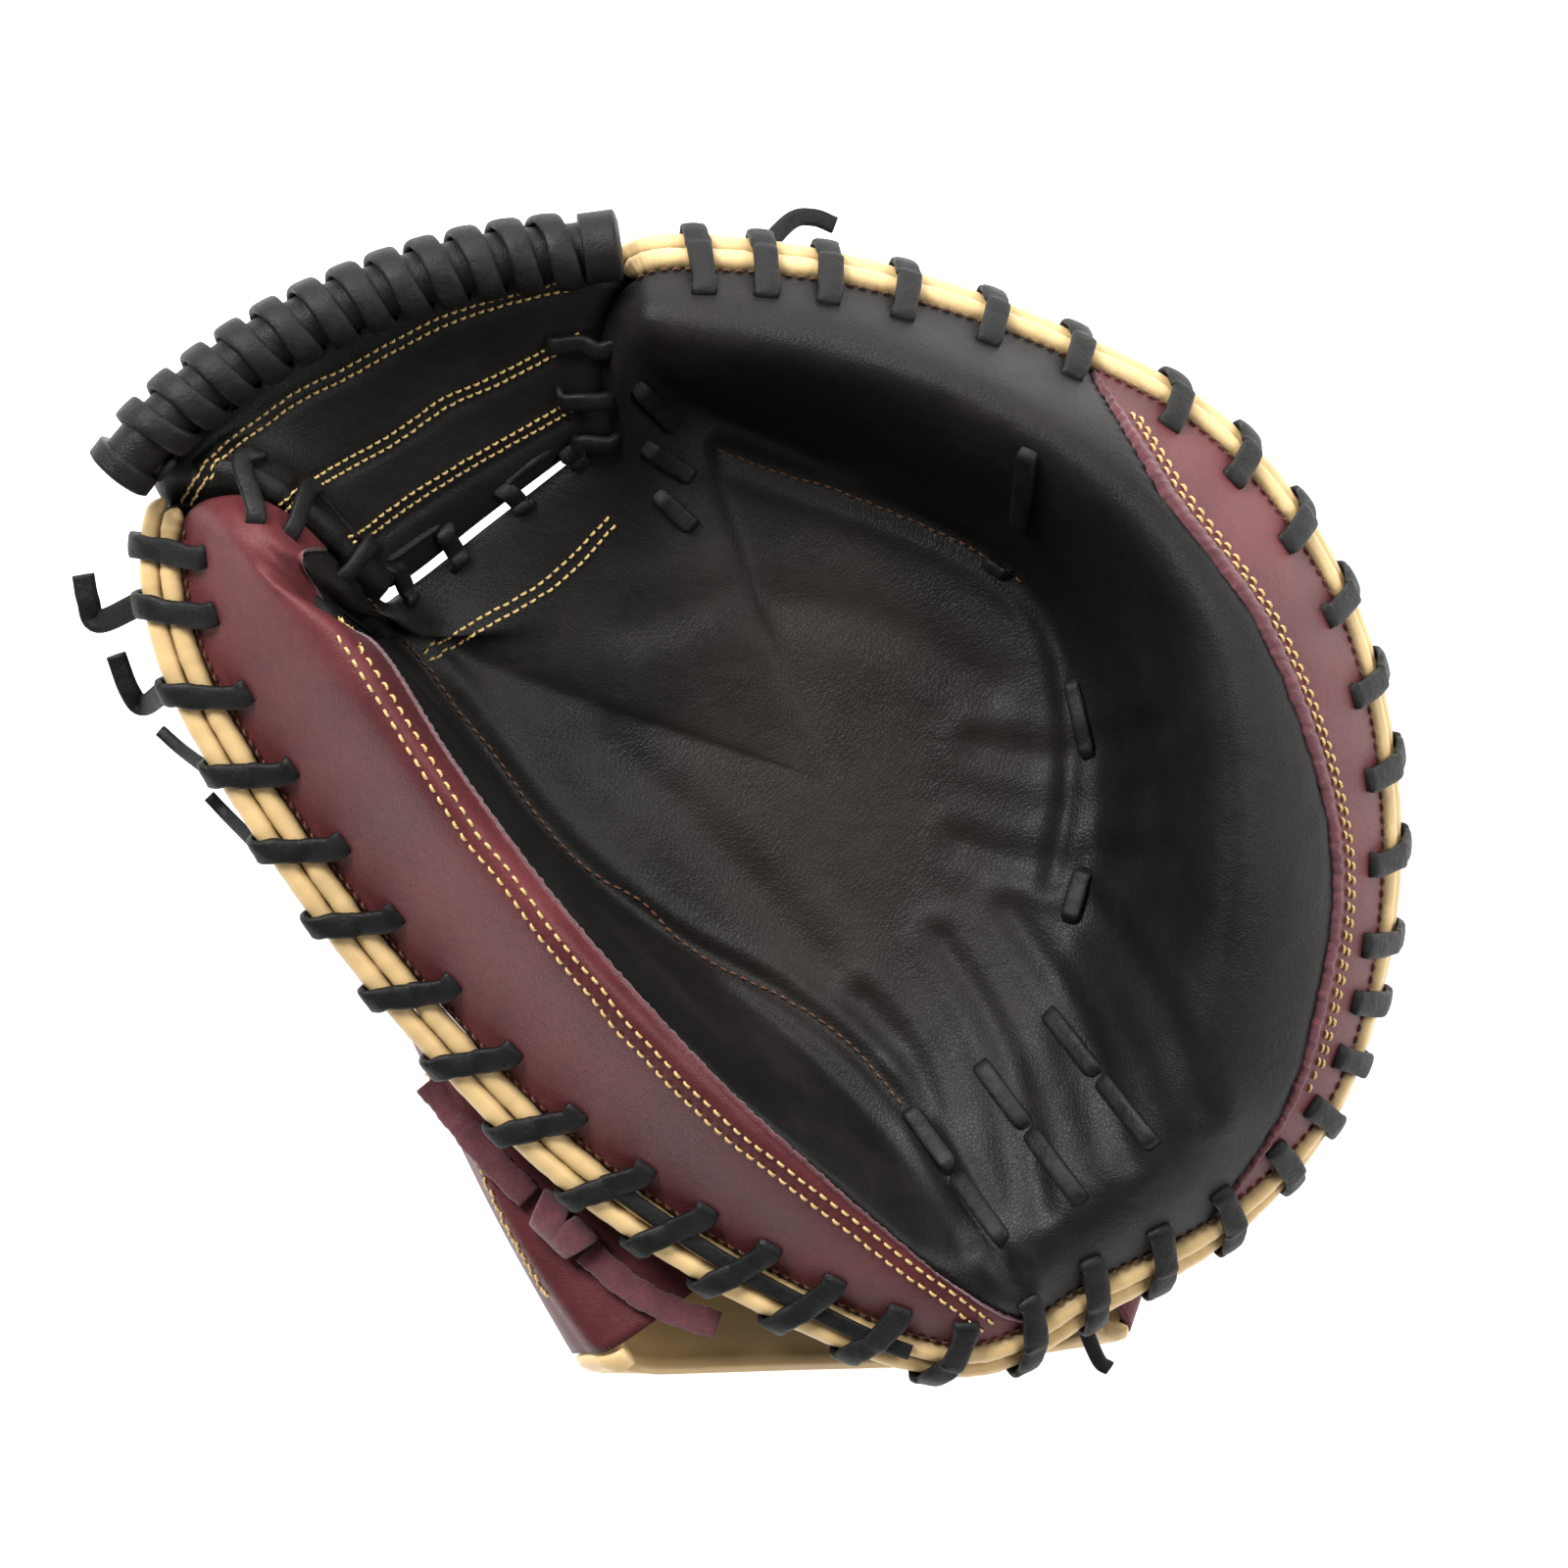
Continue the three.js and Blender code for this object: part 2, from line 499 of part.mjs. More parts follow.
// A round tube along points, with the first corner of each section turned to a given side
function tube(name, path, radius, sides, look) {
  const rings = path.map((step) => Array.from({ length: sides }, (_, k) => {
    const angle = 2 * Math.PI * k / sides;
    const reach = (step.radius ?? radius);
    return add(step.point, [step.side, reach * Math.cos(angle)], [step.rise, reach * Math.sin(angle)]);
  }));
  return loft(name, rings, look);
}

// Piping rolls and the seam of the back leather, seen from the palm's seam
function rollCentre(rim, order) {
  const pitch = 2 * PIPING_RADIUS + GAP;
  return add(rim.seam, [rim.across, PIPING_RADIUS + GAP + order * pitch]);
}

function backSeam(rim, face) {
  const piped = add(rollCentre(rim, 1), [rim.across, 0.9 * PIPING_RADIUS], [rim.top, -PIPING_RADIUS - 2 * GAP]);
  const plain = add(rim.seam, [face, -PAD_FLANGE - 9 * GAP]);
  return plain.lerp(piped, rim.piped);
}

const flangeDirection = (rim) => UP.clone().lerp(rim.top, rim.piped).negate().normalize();

// Where the back leather meets the rest surface and where it ends at the hand opening
function backFloor(s) {
  const rim = rimFrame(s);
  const start = backSeam(rim, palmNormal(s, 1));
  const angle = Math.atan2(start.y - HAND_OPENING_Y, start.x - HAND_OPENING_X);
  const border = new THREE.Vector3(HAND_OPENING_X + HAND_OPENING_WIDTH / 2 * Math.cos(angle),
    HAND_OPENING_Y + HAND_OPENING_LENGTH / 2 * Math.sin(angle), 0);
  const touch = new THREE.Vector3(start.x, start.y, 0).lerp(border, 0.55);
  return { rim, start, border, touch };
}

const BACK_SHARES = [0.25, 0.5, 0.75];
function backPoint(s, j) {
  const { rim, start, border, touch } = backFloor(s);
  const fall = flangeDirection(rim);
  if (j === 0) return start;
  if (j === 1) return add(start, [fall, FLANGE_DEPTH]);
  if (j === BACK_SHARES.length + 2) return touch;
  if (j === BACK_SHARES.length + 3) return border;
  const top = add(start, [fall, FLANGE_DEPTH]);
  const reach = top.distanceTo(touch);
  const drop = Math.min((top.z - BACK_TURN) / -fall.z, (0.8 - 0.35 * rim.piped) * reach);
  const inward = border.clone().sub(touch).normalize();
  const curve = new THREE.CubicBezierCurve3(top, add(top, [fall, drop]), add(touch, [inward, -0.4 * reach]), touch);
  return curve.getPoint(BACK_SHARES[j - 2]);
}

function backInner(s, j) {
  const step = 0.01;
  const last = BACK_SHARES.length + 3;
  if (j >= last - 1) return add(backPoint(s, j), [UP, BACK_WALL]);
  const ahead = backPoint(s, Math.min(j + 1, last));
  const behind = backPoint(s, Math.max(j - 1, 0));
  const along = backPoint(s + step, j).sub(backPoint(s - step, j));
  const inwards = along.cross(ahead.sub(behind)).normalize();
  const rim = rimFrame(s);
  if (inwards.dot(rim.out) > 0 && inwards.z < 0.5) inwards.negate();
  return add(backPoint(s, j), [inwards, BACK_WALL]);
}

// Windows for the lace between neighbouring stations: a wrap that crosses the rim there gets one
function windowsFor(places, crossings) {
  return places.slice(0, -1).map((s, i) => {
    const next = places[i + 1];
    const inside = (place) => [-1, 0, 1].map((turn) => place + turn * ROWS.length)
      .find((value) => value > s && value < next);
    const crossing = crossings.map(inside).find((value) => value !== undefined);
    if (crossing === undefined) return null;
    const length = section(s).seam.distanceTo(section(next).seam);
    const middle = (crossing - s) / (next - s);
    const half = (LACE_WIDTH / 2 + HOLE_PLAY) / length;
    return { middle, half };
  });
}

const windowAcross = (width, inset) => [-1, 1].map((side) => (inset
  + side * (LACE_THICKNESS / 2 + HOLE_PLAY)) / width);
const windowShape = (window, across) => window
  && { along: [window.middle - window.half, window.middle + window.half], across };

function backPiece(name, first, last, rings, look) {
  const count = ROWS.length;
  const mids = backs.slice(1).map((s, i) => (s + backs[i]) / 2);
  const plain = STATIONS.filter((s) => s >= LACED_END);
  const inside = [...mids, ...plain].flatMap((s) => [s - count, s, s + count])
    .filter((s) => s > first + 0.06 && s < last - 0.06).sort((a, b) => a - b);
  const places = [first, ...inside, last];
  const grid = (point) => places.map((s) => Array.from({ length: rings }, (_, j) => point(s, j)));
  const across = windowAcross(FLANGE_DEPTH, HOLE_INSET);
  const windows = windowsFor(places, backs).map((window) => windowShape(window, across));
  return wall(name, grid(backPoint), grid(backInner), look, windows, 0);
}

// The palm: padded body from the pocket centre over the rim to the seam and back behind
const INNER_RINGS = [0.30, 0.52, 0.68, 0.80, 0.91, 1];
const OUTER_RINGS = [0.33, 0.66, 1];

function ringPlaces(s) {
  const border = panelRing(s);
  const inner = INNER_RINGS.map((share) => ({ u: share * border, covered: share === 1 }));
  const outer = OUTER_RINGS.map((share) => ({ u: lerp(border, flangeRing(s), share), covered: true }));
  return [...inner, ...outer, { u: 1, covered: true }];
}

const palmAcross = windowAcross(FLANGE_WIDTH, FLANGE_WIDTH - HOLE_INSET);

function buildPalm() {
  const sunk = PANEL_WALL + 1.2 * GAP;
  const front = ringPlaces(STATIONS[0]).map((_, r) => STATIONS.map((s) => {
    const { u, covered } = ringPlaces(s)[r];
    const depth = covered && hasPanel(s) ? sunk : 0;
    return add(palmPoint(s, u), [layerNormal(s, u), -depth]);
  }));
  const rearRings = (s) => [1, flangeRing(s), PAD_FULL_AT, FOOT_AT, FOOT_AT / 2];
  const rear = rearRings(0).map((_, r) => STATIONS.map((s) => palmRear(s, rearRings(s)[r])));
  const centre = place(POCKET_CENTRE);
  const around = [...STATIONS, STATIONS[0] + ROWS.length];
  return loft('palm', [...front, ...rear], BLACK, {
    ends: [centre, add(centre, [UP, -PAD_POCKET])],
    windows: windowsFor(around, WRAPS).map((window) => windowShape(window, palmAcross)),
    bands: [front.length - 2, front.length],
  });
}

function buildPanel(name, places) {
  const start = INNER_RINGS.length - 1;
  const grid = (depth) => places.map((s) => ringPlaces(s).slice(start)
    .map(({ u }) => add(palmPoint(s, u), [layerNormal(s, u), -depth])));
  const windows = windowsFor(places, WRAPS).map((window) => windowShape(window, palmAcross));
  return wall(name, grid(0), grid(PANEL_WALL), MAROON, windows, OUTER_RINGS.length);
}

function panelRuns() {
  const around = [...STATIONS, ...STATIONS.map((s) => s + ROWS.length)];
  const runs = [];
  let run = [];
  for (const s of around) {
    if (hasPanel(s)) {
      run.push(s);
    } else {
      if (run.length > 1) runs.push(run);
      run = [];
    }
  }
  const finger = runs.find((list) => list[0] > 7 && list[0] < 10);
  const thumb = runs.find((list) => list[0] > 20);
  return { finger, thumb };
}

function buildPiping(name, order) {
  const places = [PIPING_START, 0, ...STATIONS.filter((s) => s < PIPING_END - 0.2), PIPING_END];
  const path = places.map((s) => {
    const rim = rimFrame(s);
    return { point: rollCentre(rim, order), side: rim.top, rise: rim.across };
  });
  return tube(name, path, PIPING_RADIUS, PIPING_SIDES, CREAM);
}

// One lace wrap: up through the palm, over both rolls, down the back and in again
function wrapSteps(s) {
  const rim = rimFrame(s);
  const u = seamInset(s, HOLE_INSET);
  const hole = palmPoint(s, u);
  const face = palmNormal(s, u);
  const thickness = padding(s, u);
  const lift = LACE_THICKNESS / 2 + LACE_CLEARANCE;
  const middle = palmPoint(s, (1 + u) / 2);
  const bulge = Math.max(0, middle.sub(hole.clone().lerp(rim.seam, 0.5)).dot(face));
  const shifted = (share) => rimFrame(s + share * rim.tilt / rim.speed);
  const over = (share, order, reach) => {
    const near = shifted(share);
    const direction = add(new THREE.Vector3(), [near.top, reach[0]], [near.across, reach[1]]).normalize();
    return { point: add(rollCentre(near, order), [direction, PIPING_RADIUS + lift]), side: near.along };
  };
  const far = shifted(1);
  const low = add(backFloor(s + rim.tilt / rim.speed).start, [far.top, -HOLE_INSET]);
  const squared = (along, normal) => add(along, [normal, -along.dot(normal)]).normalize();
  const palmAlong = squared(rim.along, face);
  const backAlong = squared(far.along, far.across);
  const steps = [
    { point: add(hole, [face, -thickness - lift - 2 * GAP]), side: palmAlong, fixed: true },
    { point: add(hole, [face, lift + bulge]), side: palmAlong, fixed: true },
    over(0.35, 0, [1, 0.1]),
    over(0.70, 1, [0.9, 0.42]),
    over(0.95, 1, [0.05, 1]),
    { point: add(low, [far.across, lift]), side: backAlong, fixed: true },
    { point: add(low, [far.across, -BACK_WALL - lift - GAP]), side: backAlong, fixed: true },
  ];
  return { steps, back: s + rim.tilt / rim.speed };
}

const wraps = WRAPS.map(wrapSteps);
const backs = wraps.map((wrap) => wrap.back);

const mitt = new THREE.Group();
const runs = panelRuns();
const palm = buildPalm();
mitt.add(palm);
mitt.add(buildPanel('thumb_panel', runs.thumb));
mitt.add(buildPanel('finger_panel', runs.finger));
mitt.add(buildPiping('piping_front', 0), buildPiping('piping_back', 1));
mitt.add(ribbon('edge_lace', wraps.flatMap((wrap) => wrap.steps), LACE_WIDTH, LACE_THICKNESS, LACE));

const midway = (a, b) => (backs[a] + backs[b]) / 2;
const THUMB_HEEL = midway(6, 7);
const HEEL_LITTLE = midway(19, 20);
const SPLIT = 0.03;
const FULL_RINGS = BACK_SHARES.length + 4;
const HEEL_RINGS = 2;
const BACKS = [
  { name: 'back_fingers', first: HEEL_LITTLE + SPLIT, last: BACK_SPLIT - SPLIT, rings: FULL_RINGS },
  { name: 'back_thumb', first: BACK_SPLIT + SPLIT, last: ROWS.length + THUMB_HEEL - SPLIT, rings: FULL_RINGS },
  { name: 'back_heel', first: THUMB_HEEL + SPLIT, last: HEEL_LITTLE - SPLIT, rings: HEEL_RINGS },
];
for (const { name, first, last, rings } of BACKS) mitt.add(backPiece(name, first, last, rings, BLACK));

// The web: a sheet stretched between the thumb, the palm's flap, the first finger and the roll
const rollLine = new THREE.CatmullRomCurve3(ROLL_LINE.map(place));
const ROLL_STEPS_PER_TURN = 6;
const rollLaceRadius = (ROLL_RADIUS + GAP + ROLL_LACE_THICKNESS / 2) / Math.cos(Math.PI / ROLL_STEPS_PER_TURN);

function rollFrame(t) {
  const along = rollLine.getTangentAt(t);
  const inward = UP.clone().cross(along).normalize().negate();
  const rise = along.clone().cross(inward).normalize();
  if (rise.z < 0) rise.negate();
  return { point: rollLine.getPointAt(t), along, inward, rise };
}

const WEB_LEFT = [21.9, 24.4];
const WEB_RIGHT = [18.5, 16.3];
const ROLL_SPAN = [0.05, 0.95];
function webEdge(s) {
  const rim = rimFrame(s);
  return add(rim.seam, [rim.out, WEB_MARGIN]);
}

function webTop(i) {
  const { point, inward, rise } = rollFrame(lerp(...ROLL_SPAN, i));
  const away = add(new THREE.Vector3(), [inward, 0.6], [rise, -0.8]);
  return add(point, [away, rollLaceRadius + (ROLL_LACE_THICKNESS + WEB_WALL) / 2 + GAP]);
}

function webSide(i, j) {
  const run = i === 0 ? WEB_LEFT : WEB_RIGHT;
  const start = webEdge(lerp(...run, j));
  const offset = webTop(i).sub(webEdge(run[1]));
  return add(start, [offset, j * j]);
}

function webPoint(i, j) {
  const bottom = webEdge(lerp(WEB_LEFT[0], WEB_RIGHT[0], i));
  const point = add(new THREE.Vector3(), [bottom, 1 - j], [webTop(i), j],
    [webSide(0, j), 1 - i], [webSide(1, j), i],
    [webSide(0, 0), -(1 - i) * (1 - j)], [webSide(1, 0), -i * (1 - j)],
    [webSide(0, 1), -(1 - i) * j], [webSide(1, 1), -i * j]);
  const sag = WEB_SAG * Math.sin(Math.PI * i) * Math.sin(Math.PI * j);
  return add(point, [UP, -sag]);
}

function webNormal(i, j) {
  const step = 0.02;
  const held = (v) => THREE.MathUtils.clamp(v, step, 1 - step);
  const across = webPoint(held(i) + step, held(j)).sub(webPoint(held(i) - step, held(j)));
  const up = webPoint(held(i), held(j) + step).sub(webPoint(held(i), held(j) - step));
  const normal = across.cross(up).normalize();
  return normal.z < 0 ? normal.negate() : normal;
}

function buildWeb() {
  const columns = 9;
  const rows = 6;
  const grid = (side) => Array.from({ length: columns }, (_, a) => Array.from({ length: rows }, (__, b) => {
    const i = a / (columns - 1);
    const j = b / (rows - 1);
    return add(webPoint(i, j), [webNormal(i, j), side * WEB_WALL / 2]);
  }));
  return wall('web', grid(1), grid(-1), BLACK);
}

function buildRoll() {
  const steps = 16;
  const cuffs = [0, 0.035, 0.045, 0.925, 0.935, 1];
  const body = Array.from({ length: steps - 1 }, (_, k) => lerp(0.045, 0.925, (k + 1) / steps));
  const places = [...cuffs, ...body].sort((a, b) => a - b);
  const path = places.map((t) => {
    const { point, inward, rise } = rollFrame(t);
    const cuffed = t < 0.04 || t > 0.93;
    return { point, side: inward, rise, radius: ROLL_RADIUS + (cuffed ? CUFF_WALL : 0) };
  });
  return tube('web_roll', path, ROLL_RADIUS, 8, BLACK);
}

function buildRollLace() {
  const [first, last] = [0.065, 0.905];
  const count = ROLL_TURNS * ROLL_STEPS_PER_TURN;
  const path = Array.from({ length: count + 1 }, (_, k) => {
    const { point, inward, rise, along } = rollFrame(lerp(first, last, k / count));
    const angle = 2 * Math.PI * k / ROLL_STEPS_PER_TURN;
    const away = add(new THREE.Vector3(), [inward, Math.cos(angle)], [rise, -Math.sin(angle)]);
    return { point: add(point, [away, rollLaceRadius]), side: along };
  });
  return ribbon('roll_lace', path, ROLL_LACE_WIDTH, ROLL_LACE_THICKNESS, LACE);
}

// A lace that runs to and fro over the joint between the web and the palm
function buildJoint(name, crossings) {
  const lift = LACE_THICKNESS / 2 + LACE_CLEARANCE;
  const over = (i, j, extra) => add(webPoint(i, j), [webNormal(i, j), lift + WEB_WALL / 2 + extra]);
  const legs = crossings.map(({ s, border, i, j, side = rimFrame(s).along, rest = 2 * GAP }) => {
    const u = seamInset(s, HOLE_INSET);
    return [
      { point: add(palmPoint(s, u), [palmNormal(s, u), lift + rest]), side },
      ...(border ? [{ point: over(...border, 3 * GAP), side }] : []),
      { point: over(i, j, 2 * GAP), side },
    ];
  });
  const path = legs.flatMap((leg, k) => (k % 2 ? leg.reverse() : leg));
  return ribbon(name, path, LACE_WIDTH * 0.8, LACE_THICKNESS, LACE);
}

// Shares of the web's width and height at which the joint laces come down on it
const THUMB_JOINT_AT = 0.07;
const FINGER_JOINT_AT = 0.91;
const PALM_JOINT_AT = 0.12;
const JOINT_SHARES = [0.2, 0.45, 0.7];
const PALM_JOINT_SHARES = [0.25, 0.45, 0.65, 0.85];
mitt.add(buildWeb(), buildRoll(), buildRollLace());
const sideCrossings = (run, border, i) => JOINT_SHARES.map(
  (j) => ({ s: lerp(...run, j), border: [border, j], i, j }));
const palmCrossings = PALM_JOINT_SHARES.map(
  (i) => ({ s: lerp(WEB_LEFT[0], WEB_RIGHT[0], i), border: [i, 0], i, j: PALM_JOINT_AT }));
mitt.add(buildJoint('thumb_web_lace', sideCrossings(WEB_LEFT, 0, THUMB_JOINT_AT)));
const fingerSide = webEdge(WEB_RIGHT[1]).sub(webEdge(WEB_RIGHT[0])).normalize();
const fingerCrossings = JOINT_SHARES.map((j, k) => ({
  s: lerp(...WEB_RIGHT, j),
  i: FINGER_JOINT_AT,
  j,
  rest: 5 * GAP,
  side: fingerSide.clone().multiplyScalar(k % 2 ? -1 : 1),
}));
mitt.add(buildJoint('finger_web_lace', fingerCrossings));
mitt.add(buildJoint('palm_web_lace', palmCrossings));

// Height of the highest surface of some pieces at a place
function heightOn(pieces, x, y) {
  const ray = new THREE.Raycaster(new THREE.Vector3(x, y, 10 * DEPTH), UP.clone().negate());
  const hits = ray.intersectObjects(pieces, false);
  return hits.length ? hits[0].point.z : 0;
}

// A ribbon laid on what is under it, through places given in the plane
function laid(name, places, pieces, width, thickness, look) {
  const line = new THREE.CatmullRomCurve3(places);
  const steps = Math.max(3, Math.ceil(line.getLength() / (2 * width)));
  const path = Array.from({ length: steps + 1 }, (_, k) => {
    const point = line.getPointAt(k / steps);
    const along = line.getTangentAt(k / steps);
    const side = along.clone().cross(UP).normalize();
    const reach = [-0.5, 0, 0.5].flatMap((a) => [-0.6, -0.3, 0, 0.3, 0.6].map((b) => {
      const spot = add(point, [side, a * width], [along, b * width]);
      return heightOn(pieces, spot.x, spot.y);
    }));
    return { point: new THREE.Vector3(point.x, point.y, Math.max(point.z, ...reach) + 2 * GAP + thickness / 2), side };
  });
  return ribbon(name, path, width, thickness, look);
}

for (const { name, from, to, width } of PALM_LACES) {
  const ends = [from, to].map(([x, y]) => place([x, y, 0]));
  mitt.add(laid(name, ends, [palm], width, LACE_THICKNESS, LACE));
}

// Wrist strap and lining
const STRAP_SEWN = { start: [4.75, 3.05], end: [7.0, 8.0] };
const STRAP_COLUMNS = 5;

function flangeEnd(s) {
  const { rim, start } = backFloor(s);
  return add(start, [flangeDirection(rim), FLANGE_DEPTH + 2 * GAP]);
}

function strapRow(index, across) {
  const row = STRAP[index];
  const straight = (r) => place(r.heel).lerp(place(r.palm), across);
  const within = THREE.MathUtils.clamp(across, 0, 1);
  const pull = (run, r) => {
    const ends = run.map(flangeEnd);
    return flangeEnd(lerp(...run, within)).sub(index === STRAP.indexOf(r)
      ? straight(r) : ends[0].lerp(ends[1], within));
  };
  return add(straight(row), [pull(STRAP_SEWN.start, STRAP[0]), row.start],
    [pull(STRAP_SEWN.end, STRAP[STRAP.length - 1]), row.end]);
}

function strapPoint(i, across) {
  const index = Math.min(Math.floor(i), STRAP.length - 2);
  return strapRow(index, across).lerp(strapRow(index + 1, across), i - index);
}

function strapNormal(i, across) {
  const low = Math.max(Math.ceil(i) - 1, 0);
  const high = Math.min(Math.floor(i) + 1, STRAP.length - 1);
  const held = THREE.MathUtils.clamp(across, 0.05, 0.95);
  const along = strapPoint(high, held).sub(strapPoint(low, held));
  const over = strapPoint(i, held + 0.05).sub(strapPoint(i, held - 0.05));
  return over.cross(along).normalize();
}

const strapAt = (i, across, depth) => add(strapPoint(i, across), [strapNormal(i, across), -depth]);

function buildStrap() {
  const grid = (depth) => STRAP.map((_, i) => Array.from({ length: STRAP_COLUMNS },
    (__, k) => strapAt(i, k / (STRAP_COLUMNS - 1), depth)));
  return wall('wrist_strap', grid(0), grid(STRAP_WALL), MAROON);
}

function buildLining() {
  const rows = STRAP.map((_, i) => i).slice(1, -1);
  const grid = (face) => rows.map((i) => LINING.map((column) => strapAt(i, column.across, column[face])));
  return wall('strap_lining', grid('outer'), grid('inner'), CREAM);
}

const strap = buildStrap();
const lining = buildLining();
mitt.add(strap, lining);

// Free ends of the laces: the lace wrap that each comes from and its path to the end
const TAILS = [
  {
    name: 'thumb_tail_1', wrap: 1, width: 6,
    run: [[-0.964, 0.295, 0.576], [-0.980, 0.332, 0.584], [-0.987, 0.376, 0.592]],
  },
  {
    name: 'thumb_tail_2', wrap: 2, width: 5.4,
    run: [[-0.900, 0.150, 0.528], [-0.921, 0.177, 0.536], [-0.940, 0.238, 0.552]],
  },
  { name: 'side_tail_1', wrap: 3, width: 3.4, run: [[-0.844, 0.075, 0.528], [-0.875, 0.106, 0.512]] },
  { name: 'side_tail_2', wrap: 4, width: 3.4, run: [[-0.775, -0.041, 0.496], [-0.803, -0.007, 0.496]] },
  {
    name: 'top_tail', wrap: 35, width: 4.6,
    run: [[0.072, 0.988, 0.560], [0.107, 0.996, 0.544], [0.139, 0.983, 0.536]],
  },
  { name: 'heel_tail', wrap: 16, width: 4, run: [[0.541, -0.997, 0.264], [0.559, -1.015, 0.256]] },
];
// The tie's free ends on the strap
const TIE_TAILS = [
  {
    name: 'tie_tail_upper',
    run: [[-0.479, -0.509, 0.320], [-0.440, -0.564, 0.320], [-0.390, -0.633, 0.320],
      [-0.324, -0.710, 0.320]],
  },
  {
    name: 'tie_tail_lower',
    run: [[-0.238, -0.803, 0.336], [-0.175, -0.866, 0.336], [-0.110, -0.908, 0.328],
      [-0.038, -0.936, 0.320]],
  },
];
const TIE_KNOT = [[-0.311, -0.724, 0.320], [-0.241, -0.802, 0.320]];

function tail(name, wrap, run, width) {
  const { across } = rimFrame(backs[wrap]);
  const [high, low] = wraps[wrap].steps.slice(4, 6).map((step) => step.point);
  const root = add(high.clone().lerp(low, 0.5), [across, LACE_THICKNESS / 2 + 3.5 * GAP]);
  const line = new THREE.CatmullRomCurve3([root, add(root, [across, width / 2]), ...run.map(place)]);
  const steps = 3 * run.length;
  const path = Array.from({ length: steps + 1 }, (_, k) => {
    const heading = k ? line.getTangentAt(k / steps) : across;
    return { point: line.getPointAt(k / steps), side: heading.clone().cross(UP).normalize() };
  });
  return ribbon(name, path, width, LACE_THICKNESS, LACE);
}

// A knot: a rounded lump between two places, resting on what is under it
function buildKnot(name, [from, to], pieces) {
  const geometry = new THREE.SphereGeometry(0.5, 10, 7);
  const centre = from.clone().lerp(to, 0.5);
  const along = to.clone().sub(from);
  geometry.scale(along.length(), KNOT_WIDTH, KNOT_HEIGHT);
  geometry.rotateZ(Math.atan2(along.y, along.x));
  const under = [0, 1 / 3, 2 / 3, 1].map((share) => from.clone().lerp(to, share))
    .map(({ x, y }) => heightOn(pieces, x, y));
  geometry.translate(centre.x, centre.y, Math.max(...under) - GAP + KNOT_HEIGHT / 2);
  return meshOf(name, geometry, MAROON);
}

for (const { name, wrap, run, width } of TAILS) mitt.add(tail(name, wrap, run, width));
for (const { name, run } of TIE_TAILS) {
  mitt.add(laid(name, run.map(place), [strap, lining], TIE_WIDTH, TIE_THICKNESS, MAROON));
}
mitt.add(buildKnot('tie_knot', TIE_KNOT.map(place), [strap, lining]));

// The mitt stands over the middle of its own box
const middle = new THREE.Box3().setFromObject(mitt).getCenter(new THREE.Vector3());
for (const { geometry } of mitt.children) geometry.translate(-middle.x, -middle.y, 0);

export default mitt;
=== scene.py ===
"""Catcher's mitt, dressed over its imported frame: leather, piping, laces and stitches."""

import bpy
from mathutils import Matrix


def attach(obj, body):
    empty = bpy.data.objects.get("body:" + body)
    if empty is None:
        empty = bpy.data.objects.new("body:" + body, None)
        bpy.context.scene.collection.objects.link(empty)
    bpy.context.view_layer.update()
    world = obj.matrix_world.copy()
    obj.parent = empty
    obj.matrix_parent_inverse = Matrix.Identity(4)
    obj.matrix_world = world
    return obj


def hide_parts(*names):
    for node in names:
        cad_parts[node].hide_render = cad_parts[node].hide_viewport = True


bl_info = {
    "name": "Catcher's mitt",
    "version": (1, 0, 0),
    "blender": (4, 5, 0),
    "location": "View3D > Sidebar > Mitt",
    "description": "Leather, piping, laces and stitches of a catcher's mitt",
    "category": "Object",
}

import bpy
import numpy as np
from mathutils import Vector
from mathutils.kdtree import KDTree

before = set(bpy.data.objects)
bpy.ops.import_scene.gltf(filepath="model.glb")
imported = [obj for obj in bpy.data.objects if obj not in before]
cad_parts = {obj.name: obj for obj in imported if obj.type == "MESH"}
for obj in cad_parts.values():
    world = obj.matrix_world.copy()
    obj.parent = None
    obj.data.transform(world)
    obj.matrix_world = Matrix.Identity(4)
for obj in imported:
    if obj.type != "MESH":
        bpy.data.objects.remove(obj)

# Lengths are millimetres, in the frame of the mitt's own tables. MIDDLE is the middle of the
# mitt's box there, which stands over the origin here.
MIDDLE = np.array((1.1051, -2.4071, 0.0))
WIDTH, LENGTH, DEPTH = 321.0, 278.0, 125.0
PAD_POCKET, PAD_FOOT, PAD_RIM, PAD_FLANGE = 9.0, 14.0, 44.0, 5.6
PANEL_WALL, BACK_WALL, GAP, LACE_CLEARANCE = 1.6, 2.5, 0.3, 1.1
PIPING_RADIUS = 2.6
LACE_WIDTH, LACE_THICKNESS = 6.0, 2.0
HOLE_INSET, FLANGE_WIDTH, FLANGE_DEPTH, BACK_TURN = 8.0, 12.0, 13.0, 22.0
HAND_OPENING = np.array((12.0, -28.0, 0.0))
HAND_OPENING_HALF = (42.0, 30.0)
WEB_WALL, WEB_SAG, WEB_MARGIN = 4.0, 7.0, 3.6
ROLL_RADIUS, ROLL_LACE_WIDTH, ROLL_LACE_THICKNESS, ROLL_TURNS, CUFF_WALL = 6.6, 6.4, 2.0, 12, 2.0
STRAP_WALL, LINING_WALL = 2.4, 4.4
LINING_DEPTH = STRAP_WALL + 2.5 * GAP
TIE_WIDTH, TIE_THICKNESS, KNOT_WIDTH, KNOT_HEIGHT = 7.0, 2.2, 10.0, 8.0
FOOT_AT, CREST_AT, PAD_FULL_AT, FOOT_CLIMB = 0.55, 0.80, 0.74, 4.0
LACED_END, PIPING_START, PIPING_END, BACK_SPLIT = 15, -0.2, 15.9, 20
